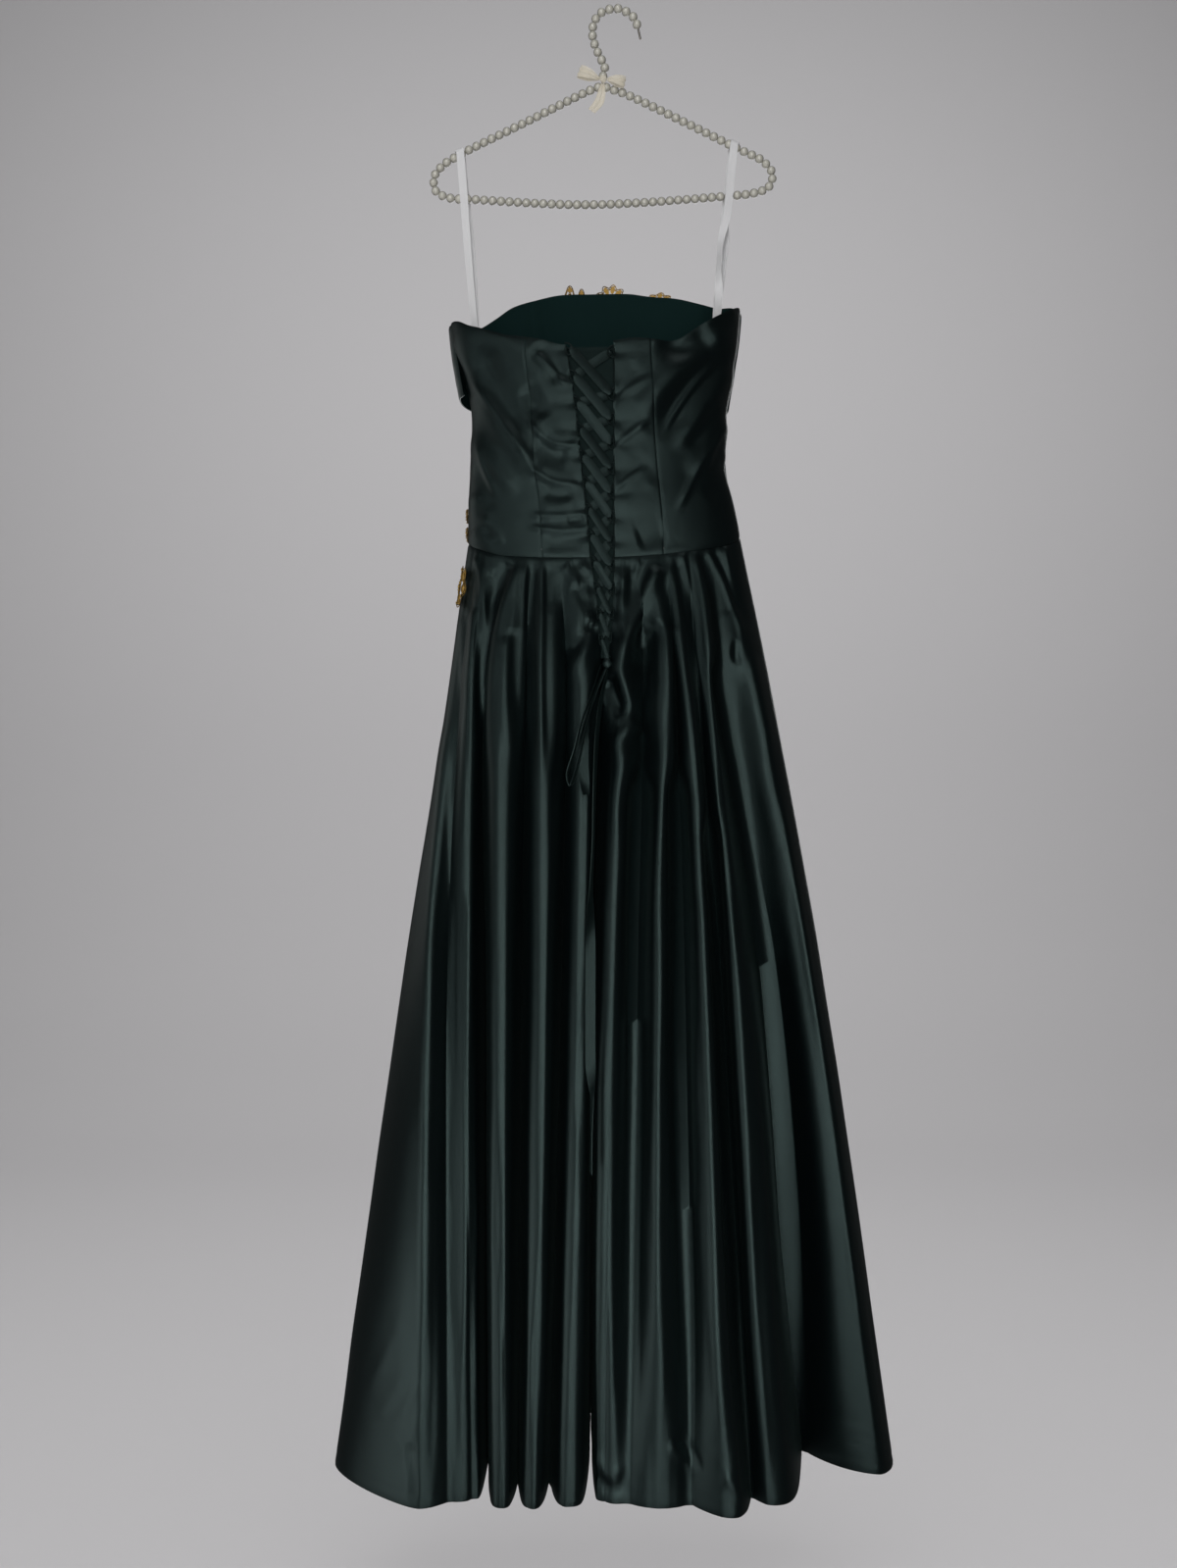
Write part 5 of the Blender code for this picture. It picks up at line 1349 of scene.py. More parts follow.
# %% Creases of the skirt back
SKIRT_CREASES = (
    (-13.0, 22.0, ((112, -720), (130, -830), (152, -985), (171, -1092), (190, -1250),
                   (206, -1450), (220, -1700))),
    (1.6, 3.8, ((-160, -624), (-154, -637), (-148, -674), (-141, -722))),
    (-1.7, 6.2, ((-140, -643), (-137, -664), (-144, -693))),
    (2.1, 6.2, ((-108, -633), (-115, -657), (-127, -688), (-136, -736), (-140, -779),
                (-141, -818), (-140, -865), (-137, -898))),
    (-2.6, 7.5, ((-118, -634), (-129, -656), (-139, -684), (-141, -714))),
    (-2.3, 7.5, ((-113, -710), (-112, -769), (-110, -818))),
    (1.7, 7.5, ((-122, -717), (-122, -769), (-120, -818), (-112, -863))),
    (1.8, 5.0, ((-99, -633), (-102, -662), (-102, -698), (-103, -758), (-103, -813),
                (-107, -860))),
    (-2.3, 6.2, ((-93, -633), (-94, -674), (-93, -746), (-92, -818), (-93, -898))),
    (2.0, 5.0, ((-83, -632), (-82, -674), (-83, -746), (-82, -818), (-82, -898))),
    (-2.5, 7.5, ((-78, -633), (-78, -664), (-77, -710), (-77, -793), (-75, -889))),
    (2.1, 12.5, ((-71, -681), (-69, -717), (-63, -758), (-58, -806), (-60, -853),
                 (-64, -898))),
    (2.2, 7.5, ((-25, -716), (-37, -736), (-46, -755), (-54, -774))),
    (-3.2, 11.2, ((-27, -703), (-44, -726), (-56, -743))),
    (1.4, 7.5, ((-58, -639), (-48, -655), (-51, -674), (-39, -686))),
    (-2.0, 7.5, ((-46, -662), (-37, -679), (-27, -686))),
    (1.6, 6.2, ((-33, -695), (-25, -705))),
    (-1.6, 6.2, ((-51, -637), (-39, -650), (-30, -660))),
    (1.2, 5.0, ((-39, -637), (-30, -648), (-22, -662))),
    (5.5, 8.0, ((48, -640), (37, -660), (27, -684), (17, -707), (8, -731), (3, -755),
                (10, -779), (21, -811), (22, -817))),
    (4.5, 8.0, ((24, -812), (10, -822), (2, -832), (4, -860), (-1, -898), (-3, -960))),
    (-8.0, 9.0, ((-12, -765), (-3, -788), (9, -808))),
    (-3.2, 12.5, ((40, -700), (28, -735), (24, -770))),
    (-2.0, 10.0, ((22, -825), (30, -841), (27, -865))),
    (1.6, 5.0, ((8, -648), (5, -674), (4, -698), (7, -713))),
    (-1.6, 6.2, ((16, -637), (14, -664), (11, -693))),
    (1.2, 3.8, ((25, -634), (18, -655))),
    (2.1, 10.0, ((60, -703), (56, -746), (51, -806), (48, -853), (46, -898))),
    (-2.3, 15.0, ((35, -710), (30, -746), (33, -793))),
    (2.2, 6.2, ((53, -632), (59, -674), (66, -722), (73, -769), (79, -818), (84, -865),
                (86, -898))),
    (-2.2, 6.2, ((65, -630), (73, -674), (80, -722), (83, -793))),
    (1.6, 3.8, ((71, -622), (80, -662), (86, -698), (87, -746), (88, -784))),
    (2.2, 6.2, ((85, -621), (93, -662), (98, -710), (102, -769), (108, -830), (116, -896))),
    (-2.3, 6.2, ((92, -622), (106, -664), (112, -722), (116, -793))),
    (2.2, 3.8, ((100, -618), (116, -648), (128, -681), (136, -705), (142, -741))),
    (-2.9, 6.2, ((105, -616), (123, -648), (135, -681), (144, -710))),
    (-3.2, 4.4, ((133, -724), (132, -738), (139, -749))),
    (1.7, 10.0, ((122, -686), (126, -726), (129, -769), (133, -815))),
    (-2.0, 10.0, ((111, -746), (117, -806), (129, -865))),
    (2.1, 10.0, ((148, -736), (154, -765), (162, -801), (174, -860))),
    (1.3, 3.8, ((122, -610), (126, -645), (136, -684), (144, -722))),
    (1.6, 6.0, ((-24, -1606), (-8, -1624), (12, -1612))),
    (-1.6, 5.5, ((-26, -1626), (-6, -1640), (14, -1630))),
    (2.0, 4.0, ((56, -1586), (72, -1606), (84, -1624))),
    (-2.0, 4.0, ((62, -1580), (80, -1600), (92, -1616))),
    (2.0, 5.0, ((112, -1610), (126, -1626), (140, -1652))),
    (-1.8, 3.5, ((-222, -1590), (-218, -1622), (-216, -1660))),
    (0.8, 2.6, ((-274, -1550), (-260, -1518), (-244, -1478))),
    (0.9, 2.8, ((-258, -1572), (-238, -1532), (-216, -1488))),
    (0.8, 2.6, ((-248, -1592), (-228, -1552), (-208, -1510))),
    (0.7, 2.4, ((-238, -1608), (-224, -1580), (-210, -1552))),
    (0.7, 2.6, ((-262, -1530), (-246, -1490), (-230, -1440))),
    (5.0, 14.0, ((9, -806), (-2, -986), (-5, -1092), (-12, -1250), (-17, -1410), (-19, -1570),
                (-17, -1700))),
    (-9.5, 13.0, ((26, -850), (21, -986), (20, -1150), (16, -1410), (14, -1570), (14, -1700))),
    (3.0, 8.0, ((55, -806), (44, -986), (45, -1092), (43, -1410), (45, -1516), (50, -1700))),
    (-8.5, 12.0, ((62, -850), (66, -1000), (68, -1250), (74, -1450), (80, -1700))),
    (3.0, 8.0, ((91, -986), (95, -1092), (101, -1300), (107, -1516), (128, -1700))),
    (-7.0, 9.0, ((100, -900), (108, -1092), (118, -1300), (128, -1516), (140, -1700))),
    (2.5, 7.0, ((119, -986), (129, -1092), (145, -1410), (150, -1516), (170, -1700))),
    (1.4, 5.0, ((180, -880), (214, -1092), (242, -1250), (264, -1420), (303, -1700))),
    (2.5, 9.0, ((-190, -806), (-200, -986), (-204, -1092), (-208, -1410), (-212, -1700))),
    (2.5, 5.0, ((-161, -986), (-162, -1092), (-164, -1410), (-168, -1600))),
    (1.4, 6.2, ((-162, -681), (-160, -746), (-159, -818), (-160, -898))),
    (-1.6, 5.0, ((-156, -674), (-152, -746), (-151, -841))),
    (1.3, 5.0, ((-173, -693), (-171, -746), (-169, -793))),
)
SKIRT_FRONT_CREASES = (
    (2.6, 4.0, ((112, -604), (118, -660), (124, -740), (134, -860))),
    (-2.8, 5.0, ((98, -606), (104, -670), (110, -760))),
    (2.8, 4.0, ((60, -606), (62, -680), (66, -780), (72, -900))),
    (-3.0, 5.0, ((48, -606), (46, -680), (44, -790))),
    (2.4, 4.0, ((-8, -606), (-12, -690), (-14, -800), (-18, -930))),
    (-2.8, 5.0, ((-24, -606), (-30, -690), (-34, -800))),
    (2.6, 4.0, ((-86, -608), (-92, -680), (-98, -780), (-106, -900))),
    (-2.8, 5.0, ((-100, -608), (-108, -690), (-116, -780))),
    (2.4, 4.0, ((-140, -610), (-150, -680), (-162, -790))),
)
print("creases on the skirt:", len(SKIRT_CREASES), "and", len(SKIRT_FRONT_CREASES))

# %% Skirt panels
SKIRT_ROWS = 210
SKIRT_CLOTH = 1.1
HEM_FOLD = 12.0
OPEN_END = 0.004
KNOT_Z = -745.0


def skirt_panel(name, first, last, per_fold, creases, gaps):
    """Skirt panel between two fold lines, with its creases and a turned hem."""
    places = np.linspace(first, last, (last - first) * per_fold + 1)
    if "first" in gaps:
        places[0] += OPEN_END
    if "last" in gaps:
        places[-1] -= OPEN_END
    grid = skirt_grid(places, np.linspace(1.0, 0.0, SKIRT_ROWS + 1) ** 1.12)
    x, z = grid[..., 0], grid[..., 2]
    lift = crease_lift(x, z, creases, 0.06, 0.35)
    if creases is SKIRT_CREASES:
        lift += loop_pull(x, z) * (z > KNOT_Z)
    down = (-z - 620.0) / 1035.0
    lift += (0.4 + 0.9 * down) * soft_noise(places[None, :] * 2.1 + 0.0 * z, z / 150.0, 41)
    from_hem = z - HEM_Z
    lift -= 0.5 * falloff(from_hem - HEM_FOLD, 1.4)
    lift -= 0.8 * falloff(from_hem, 1.5)
    from_waist = grid[-1:, :, 2] - z
    lift *= ease((from_waist + 1.0) / 6.0)
    lift -= 0.7 * falloff(from_waist, EDGE_WIDTH)
    lift -= 0.6 * falloff(edge_distance(grid), 1.5) * (from_waist > 160.0)
    grid = grid + grid_normals(grid) * lift[..., None]
    obj = cloth(name + "_cloth", grid, SKIRT_CLOTH, name, SATIN_FACE, SATIN_BACK)
    return obj, grid


# Columns: node, first line, last line, columns a fold, creases, open ends, cut width and length
SKIRT_PANELS = (
    ("skirt_back_right", 0, RIGHT_SEAM, 20, SKIRT_CREASES, ("last",), 0.68, 1.07),
    ("skirt_front", RIGHT_SEAM, LEFT_SEAM, 15, SKIRT_FRONT_CREASES, ("first", "last"), 0.98, 1.07),
    ("skirt_back_left", LEFT_SEAM, LAST_LINE, 20, SKIRT_CREASES, ("first",), 0.86, 1.07),
)
for name, first, last, per_fold, creases, gaps, width, length in SKIRT_PANELS:
    obj, grid = skirt_panel(name, first, last, per_fold, creases, gaps)
    hem, top = run_length(grid[0])[-1], run_length(grid[-1])[-1]
    print(name, "area", round(area_of(grid), 4), "hem", round(hem), "waist", round(top))

# %% [markdown]
# ## Lacing
#
# Two satin ribbons cross under and over each other through cord loops on both edges. Each
# strip on top runs down to the right and comes back below. The loops are short lengths of
# satin-covered cord, caught in the edge's facing.

# %% Cord loops
CORD_RADIUS = 0.95
BINDING_RADIUS = 0.9
# A loop seen flat: out from the edge, and up, as shares of its reach and of its height
LOOP_SHAPE = ((-1.2, 1.05), (0.2, 1.0), (0.75, 0.62), (1.0, 0.0), (0.75, -0.62), (0.2, -1.0),
              (-1.2, -1.05))


def loop_reach(z):
    """How far a loop reaches into the opening, which is narrow at the bottom."""
    gap = placket_right(z) - placket_left(z)
    return float(np.clip(0.3 * gap, CORD_LOOP_SHORT, CORD_LOOP_LONG))


def cord_loops(name, edge, side, heights):
    """Loops along one edge of the opening, and the corded binding that holds them."""
    parts = []
    for z in heights:
        reach = loop_reach(z)
        tall = min(6.0, 3.4 + reach * 0.4)
        rows = []
        for out, up in LOOP_SHAPE:
            place = z + up * tall
            x = edge(place) + side * (1.2 + (reach - 1.2) * out if out > 0.0 else out)
            rows.append(skin(x, place, CORD_LOOP_DEPTH))
        parts.append((rings_mesh(tube_rings(smooth_line(rows, 4), CORD_RADIUS, 8)), 0))
    fine = np.arange(heights[-1] - 6.0, heights[0] + 6.0, 3.0)
    binding = skin(edge(fine) - side * 0.2, fine, -0.2)
    parts.append((rings_mesh(tube_rings(binding, BINDING_RADIUS, 8)), 0))
    joined_piece(name + "_cord", parts, [CORD_CLOTH], name)


cord_loops("lace_loops_left", placket_left, 1.0, LEFT_LOOPS)
cord_loops("lace_loops_right", placket_right, -1.0, RIGHT_LOOPS)
print("loops:", len(LEFT_LOOPS), "and", len(RIGHT_LOOPS))

# %% Lacing ribbons
LACE_WIDTH = 10.5
RIBBON = 0.6


def turn_inset(z):
    """How far inside the edge the ribbon turns through a loop."""
    wide = (loop_reach(z) - CORD_LOOP_SHORT) / (CORD_LOOP_LONG - CORD_LOOP_SHORT)
    return TURN_INSET + (TURN_INSET_WIDE - TURN_INSET) * wide


def stop_place(column, k):
    """Where the ribbon turns through a loop, and which way the opening lies from there."""
    if column == 1:
        z, edge, side = LEFT_LOOPS[k], placket_left, 1.0
    else:
        z, edge, side = RIGHT_LOOPS[k + 1], placket_right, -1.0
    return np.array([float(edge(z)) + side * turn_inset(z), 0.0, z]), side


def lacing(name, first_strip, starts_under):
    """One ribbon: over to the right, through a loop, and back below to the left."""
    stops = [(2, -1)] if starts_under else []
    for k in range(first_strip, TOP_STRIPS, 2):
        stops += [(1, k), (2, k)]
    places = [stop_place(column, k) for column, k in stops]
    sides = []
    for (a, _), (b, _) in zip(places, places[1:]):
        run = b - a
        side = unit(np.array([-run[2], 0.0, run[0]]))
        sides.append(side if side[2] > 0.0 else -side)
    rows = []
    last = len(stops) - 1
    for n, (column, k) in enumerate(stops):
        spot, side = places[n]
        before, after = sides[max(n - 1, 0)], sides[min(n, last - 1)]
        narrow = max(2.4, 5.4 * before[2])
        over = (*skin(spot[0], spot[2], CORD_LOOP_DEPTH - LACE_LAYER), *before, narrow)
        outer = (*skin(spot[0] - side * LACE_LAYER, spot[2], CORD_LOOP_DEPTH),
                 *unit(before + after), narrow * 0.8)
        under = (*skin(spot[0], spot[2], CORD_LOOP_DEPTH + LACE_LAYER), *after, narrow)
        turn = [over, outer, under]
        if column == 1:
            under = (*under[:3], *before, narrow)
            over = (*over[:3], *after, narrow)
            turn = [under, outer, over]
        if n == 0 and column == 2:
            turn = turn[1:]
        rows += turn[:1] if n == last else turn
        if n == last:
            break
        depth = CORD_LOOP_DEPTH + (LACE_LAYER if column == 2 else -LACE_LAYER)
        roll = (0.0, 0.26 * math.sin(2.1 * n + 0.9) if column == 1 else 0.08, 0.0)
        width = float(np.clip(0.57 * LEFT_LOOP_PITCH * sides[n][2], 4.0, LACE_WIDTH))
        for f in (0.12, 0.3, 0.5, 0.7, 0.88):
            mid = spot + (places[n + 1][0] - spot) * f
            rows.append((*skin(mid[0], mid[2], depth), *unit(sides[n] + roll), width))
    rows = np.array(rows)
    line = smooth_line(rows[:, :3], 8)
    ribbon(name + "_ribbon", line, spread(rows[:, 3:6], 8), spread(rows[:, 6], 8), RIBBON,
           name, LACE_RIBBON, cup=-0.5, across=8)
    print(name, "runs", round(run_length(line)[-1]), "mm")


lacing("lacing_first", 0, False)
lacing("lacing_second", 1, True)

# %% [markdown]
# ## Knot and free ends
#
# The lacing ends in a small tight knot. The free ends are the ribbons whose routes were laid
# out above. They are thin, so most of what one sees is the bright line of their edges.

# %% Knot
KNOT = np.array([-10.8, -63.2, -748.4])
KNOT_HALF = np.array([6.2, 3.6, 6.2])


def wound(turn, a):
    return 0.10 * np.abs(np.sin(1.5 * turn + 2.2 * a)) + 0.05 * np.sin(9.0 * a) ** 2


wound_knot("lace_knot_ribbon", KNOT, KNOT_HALF, 24, 40, wound, LACE_RIBBON, "lace_knot")
print("knot made")

# %% Free ends
# Columns: node, rows, what its end is
TAILS = (
    ("lace_tail_long", LONG_TAIL, "bare"),
    ("lace_tail_short", SHORT_TAIL, "bare"),
    ("lace_bow_loop", BOW_LOOP, "object"),
)
for name, rows, end in TAILS:
    line, sides, widths = tail_route(rows)
    obj = ribbon(name + "_ribbon", line, sides, widths, RIBBON, name,
                 LACE_RIBBON, cup=0.5, across=8)

# %% [markdown]
# ## Hanger
#
# Pearl beads of 10 mm are strung tightly on a bent wire. Each bead is a turned shape: a
# round ball with a small drilled hole at each end. Its joint with the next bead is a short
# bare piece of wire. The hook's beads go on down its neck, and a small bow of organza is
# tied in front of it.

# %% Hanger lines
BEAD_PITCH = 9.6
BEAD_SIZE = 4.95
HOLE = 0.9
FRAME_WIRE = 1.1
HOOK_WIRE = 1.2
HANGER_OUTLINE = (
    (-15.7, -83.5), (-26.0, -86.4), (-105.3, -125.4), (-182.0, -163.4), (-198.2, -174.0),
    (-207.6, -187.0), (-205.4, -203.0), (-190.0, -210.4), (-164.6, -212.2), (-30.2, -218.4),
    (125.4, -208.6), (158.0, -205.0), (174.2, -198.2), (178.6, -183.0), (168.0, -168.8),
    (140.0, -154.8), (10.1, -91.6), (-5.4, -86.4),
)
HOOK_LINE = (
    (-15.7, -80.0), (-14.6, -70.6), (-12.8, -60.5), (-19.0, -48.2), (-25.8, -30.2),
    (-26.9, -19.0), (-24.1, -7.8), (-16.8, 1.1), (-5.6, 5.2), (5.0, 5.2), (13.4, 1.1),
    (21.3, -5.6), (24.6, -14.6), (28.0, -29.0),
)
HOOK_BARE_WIRE = 12.0
NECK_END_Z = -77.0

BEAD_SIDES = 18


def bead(centre, along_line, size):
    """One drilled bead as a turned shape along the wire."""
    profile = np.linspace(0.16, np.pi - 0.16, 11)
    places = -np.cos(profile) * size
    radii = np.sin(profile) * size
    radii[0] = radii[-1] = HOLE
    line = centre + along_line * places[:, None]
    side = unit(np.cross(along_line, (0.0, 1.0, 0.0)))
    other = np.cross(along_line, side)
    turn = full_turn(BEAD_SIDES)
    around = np.cos(turn)[:, None] * side + np.sin(turn)[:, None] * other
    return rings_mesh([c + around * r for c, r in zip(line, radii)])


def string_of_beads(line, seed):
    """Beads at an even pitch along a line, each a little different in size."""
    run = run_length(line)
    count = round(run[-1] / BEAD_PITCH)
    draw = np.random.RandomState(seed)
    parts = []
    for i in range(count):
        place = (i + 0.5) * run[-1] / count
        centre, ahead, behind = [
            np.array([np.interp(place + step, run, line[:, c]) for c in range(3)])
            for step in (0.0, 1.0, -1.0)
        ]
        size = BEAD_SIZE * draw.uniform(0.975, 1.01)
        parts.append((bead(centre, unit(ahead - behind), size), 0))
    return parts


print("points on the hanger's outline:", len(HANGER_OUTLINE))

# %% Beaded frame
outline = smooth_line([(x, 0.0, z) for x, z in HANGER_OUTLINE], 16, closed=True)
outline = np.concatenate([outline, outline[:1]])
parts = string_of_beads(outline, 5)
parts.append((rings_mesh(tube_rings(outline[:-1], FRAME_WIRE, 8), closed=True), 1))
joined_piece("hanger_frame_beads", parts, [PEARL, WIRE], "hanger_frame")
print("beads on the frame:", len(parts) - 1)

# %% Beaded hook
hook = smooth_line([(x, 0.0, z) for x, z in HOOK_LINE], 16)
run = run_length(hook)
beaded = hook[(hook[:, 2] > NECK_END_Z) & (run < run[-1] - HOOK_BARE_WIRE)]
parts = string_of_beads(beaded, 6)
parts.append((rings_mesh(tube_rings(hook, HOOK_WIRE, 10)), 1))
joined_piece("hanger_hook_beads", parts, [PEARL, WIRE], "hanger_hook")
print("beads on the hook:", len(parts) - 1)

# %% [markdown]
# The bow is a short length of sheer organza ribbon: two small loops and one hanging end,
# gathered by a knot. Each loop is one strip that goes out and comes back behind itself.

# %% Organza bow
BOW_Y = -7.7
BOW_KNOT = np.array([-14.6, BOW_Y, -79.0])
BOW_KNOT_HALF = np.array([4.2, 3.0, 4.6])
# Columns: node, reach, rise, width
BOW_LOOPS = (
    ("hanger_bow_left", -23.0, 9.0, 14.0),
    ("hanger_bow_right", 20.0, -4.0, 12.5),
)
ORGANZA_THICKNESS = 0.25
for name, reach, rise, width in BOW_LOOPS:
    start = BOW_KNOT + (math.copysign(4.7, reach), 0.0, 0.0)
    tip = start + (reach, 0.0, rise)
    near, far = start + (tip - start) * 0.45, start + (tip - start) * 0.85
    out = np.array((0.0, 1.0, 0.0))
    line = smooth_line([start - out * 0.6, near - out * 3.6, far - out * 2.6, tip,
                        far + out * 2.2, near + out * 2.6, start + out * 0.6], 8)
    widths = spread([3.5, width * 0.8, width, width * 1.05, width, width * 0.8, 3.5], 8)
    sides = np.tile(unit(np.array((-rise, 0.0, reach), float)), (len(line), 1))
    grid = ribbon_grid(line, sides, widths, 0.0, 14)
    ruffle = 0.5 * np.sin(np.linspace(0.0, 5.0 * np.pi, 15))[None, :]
    grid = grid + grid_normals(grid) * (0.15 + ruffle)[..., None]
    cloth(name + "_organza", grid, ORGANZA_THICKNESS, name, ORGANZA)

rows = np.array([(-15.2, BOW_Y, -84.2, 4.0), (-16.4, BOW_Y + 0.4, -94.0, 9.0),
                 (-19.5, BOW_Y, -105.0, 11.0), (-28.0, BOW_Y - 1.0, -116.0, 9.0)])
line = smooth_line(rows[:, :3], 10)
grid = ribbon_grid(line, np.tile((1.0, 0.0, 0.0), (len(line), 1)), spread(rows[:, 3], 10), 0, 14)
ruffle = 0.7 * np.sin(np.linspace(0.0, 4.0 * np.pi, 15))[None, :]
grid = grid + grid_normals(grid) * ruffle[..., None]
cloth("hanger_bow_tail_organza", grid, ORGANZA_THICKNESS, "hanger_bow_tail",
      ORGANZA)


def gathered(turn, a):
    return 0.08 * np.abs(np.sin(4.0 * turn)) * np.sin(a)


wound_knot("hanger_bow_knot_organza", BOW_KNOT, BOW_KNOT_HALF, 20, 36, gathered, ORGANZA,
           "hanger_bow_knot")
print("bow made")

# %% [markdown]
# ## Hanger ribbons
#
# A white ribbon loop is sewn inside each side of the back. It goes over the arm of the
# hanger and down again, pulled straight by the weight of the dress. The right one turns
# nearly edge-on for a stretch and back again, so it looks narrower there.

# %% Hanger ribbon loops
LOOP_WIDTH = 9.0
LOOP_RIBBON = 0.7
LOOP_TURN_RADIUS = 5.9
LOOP_END_HALF = 0.75
LOOP_BAR_DROP = 80.0
TWIST_START = 0.3
TWIST_LENGTH = 0.55
arm_points = sorted((x, z) for x, z in HANGER_OUTLINE if z > -176.0)


def arm_height(x):
    """Height of the hanger's arm."""
    return read_table(arm_points, x)


def hanger_loop(name, arm_x, end_x, end_z, twist):
    """Loop up from the seam at the back, over the arm and down on the other side."""
    arm = np.array([arm_x, 0.0, arm_height(arm_x)])
    lean = arm_height(arm_x + 5.0) - arm_height(arm_x - 5.0)
    arm_side = unit(np.array([10.0, 0.0, lean]))
    arm_up = np.cross(arm_side, (0.0, 1.0, 0.0))
    arm_up = arm_up if arm_up[2] > 0.0 else -arm_up
    angle = float(angle_at(end_x, end_z, True))
    end = bodice_out(angle, end_z, -SATIN - 2.0 * SEAM_GAP - 0.4 - LOOP_END_HALF)
    wall_side = unit(bodice_point(angle + 0.02, end_z) - bodice_point(angle - 0.02, end_z))
    length = float(np.linalg.norm(end - arm))
    down = (end - arm) / length
    strand = []
    for f in np.linspace(0.0, 1.0, 61):
        below = np.clip((f * length - LOOP_BAR_DROP) / (length - LOOP_BAR_DROP), 0.0, 1.0)
        centre = arm + (end - arm) * f
        centre[1] = end[1] * below ** 1.4
        side = arm_side + (wall_side - arm_side) * ease(f)
        side = unit(side - down * (side @ down))
        face = np.cross(down, side)
        twisted = float(np.clip((f - TWIST_START) / TWIST_LENGTH, 0.0, 1.0))
        turn = twist * math.sin(math.pi * twisted) ** 2
        side, face = (side * math.cos(turn) + face * math.sin(turn),
                      face * math.cos(turn) - side * math.sin(turn))
        slack = np.clip((f * length - LOOP_BAR_DROP) / (length * 0.9 - LOOP_BAR_DROP), 0.0, 1.0)
        half = LOOP_TURN_RADIUS + (LOOP_END_HALF - LOOP_TURN_RADIUS) * slack
        strand.append((centre, side, face if face[1] < 0.0 else -face, half))
    rows = [(*(c + n * h), *s) for c, s, n, h in strand[::-1]]
    for a in np.linspace(0.0, math.pi, 13)[1:-1]:
        out = np.array((0.0, -1.0, 0.0)) * math.cos(a) + arm_up * math.sin(a)
        rows.append((*(arm + out * LOOP_TURN_RADIUS), *arm_side))
    rows += [(*(c - n * h), *s) for c, s, n, h in strand]
    rows = np.array(rows)
    widths = np.full(len(rows), LOOP_WIDTH)
    ribbon(name + "_ribbon", rows[:, :3], rows[:, 3:], widths, LOOP_RIBBON, name,
           WHITE_RIBBON)
    print(name, "is", round(length), "mm from arm to seam")


hanger_loop("hanger_loop_left", -177.0, -158.0, -392.0, 0.0)
hanger_loop("hanger_loop_right", 134.0, 110.5, -388.0, math.radians(80.0))

# %% [markdown]
# ## Gold lace
#
# Small motifs of corded lace are sewn over the front neckline and the left hip: ordinary
# flowers and leaves. Each has a cord outline, petals filled with close stitches, and small
# beads. They are laid out flat first, in steps across and up, and then set on the cloth.

# %% Lace motifs
CORD_LINES = ((0.97, 1.1), (0.80, 1.3), (0.34, 1.6))
PETAL_LINES = ((0.05, 1.9), (0.5, 1.7), (0.85, 1.3), (1.0, 0.5))
SCALLOP_RISE = 0.13
OUTLINE_CORD = 0.55


def small_ball(centre, size):
    """Bead of seven sides."""
    turn = full_turn(7)
    rings = []
    for a in np.linspace(0.25, np.pi - 0.25, 5):
        ring = [np.sin(a) * np.cos(turn), np.cos(a) * np.ones(7), np.sin(a) * np.sin(turn)]
        rings.append(centre + np.stack(ring, -1) * size)
    return rings_mesh(rings)


def lace_motif(name, place_at, half_width, half_height, scallops, phase, seed):
    """Scalloped flower with petals, cords and beads; place_at sets flat points on the cloth."""
    draw = np.random.RandomState(seed)
    parts = []

    def outline(share, a):
        reach = share * (1.0 + SCALLOP_RISE * np.cos(scallops * a + phase)) / (1.0 + SCALLOP_RISE)
        return np.stack([half_width * reach * np.cos(a), half_height * reach * np.sin(a)], -1)

    a = np.linspace(0.0, 2.0 * np.pi, 121)
    for share, height in CORD_LINES:
        flat = outline(share, a)[:-1]
        line = place_at(flat[:, 0], flat[:, 1], np.full(len(flat), height))
        parts.append((rings_mesh(tube_rings(line, OUTLINE_CORD, 6), closed=True), 0))
    for k in range(scallops):
        middle = (2.0 * np.pi * k - phase) / scallops
        petal = np.linspace(0.0, 2.0 * np.pi, 25)[:-1]
        span = np.pi / scallops
        rings = []
        for share, dome in PETAL_LINES:
            along = 0.62 + 0.26 * share * np.cos(petal)
            sweep = middle + 0.72 * span * share * np.sin(petal)
            reach = outline(1.0, sweep)
            point = reach * along[:, None]
            ribs = 0.12 * np.sin(9.0 * petal)
            rings.append(place_at(point[:, 0], point[:, 1], dome + ribs))
        parts.append((rings_mesh(rings), 0))
    beads = []
    for k in range(scallops * 3):
        turn = 2.0 * np.pi * k / (scallops * 3) + draw.uniform(-0.05, 0.05)
        beads.append((outline(0.9 + draw.uniform(-0.03, 0.03), turn), draw.uniform(0.75, 1.05)))
    for k in range(7):
        turn = 2.0 * np.pi * k / 7.0
        spot = outline(0.2, turn) if k else np.zeros(2)
        beads.append((spot, 1.1 if k else 1.5))
    for spot, size in beads:
        centre = place_at(np.array([spot[0]]), np.array([spot[1]]), np.array([2.0]))[0]
        parts.append((small_ball(centre, size), 1))
    return joined_piece(name + "_gold", parts, [GOLD_CORD, GOLD_BEAD], name)


# Columns: node, x, height, half width, half height, scallops, turn
NECKLINE_MOTIFS = (
    ("neckline_lace_1", -54.0, -282.5, 7.0, 13.0, 3, 1.57),
    ("neckline_lace_2", -40.0, -288.0, 6.0, 15.0, 3, 1.57),
    ("neckline_lace_3", -4.0, -286.0, 19.0, 18.5, 9, 3.14),
    ("neckline_lace_4", 53.0, -290.5, 16.0, 10.0, 7, 0.0),
)
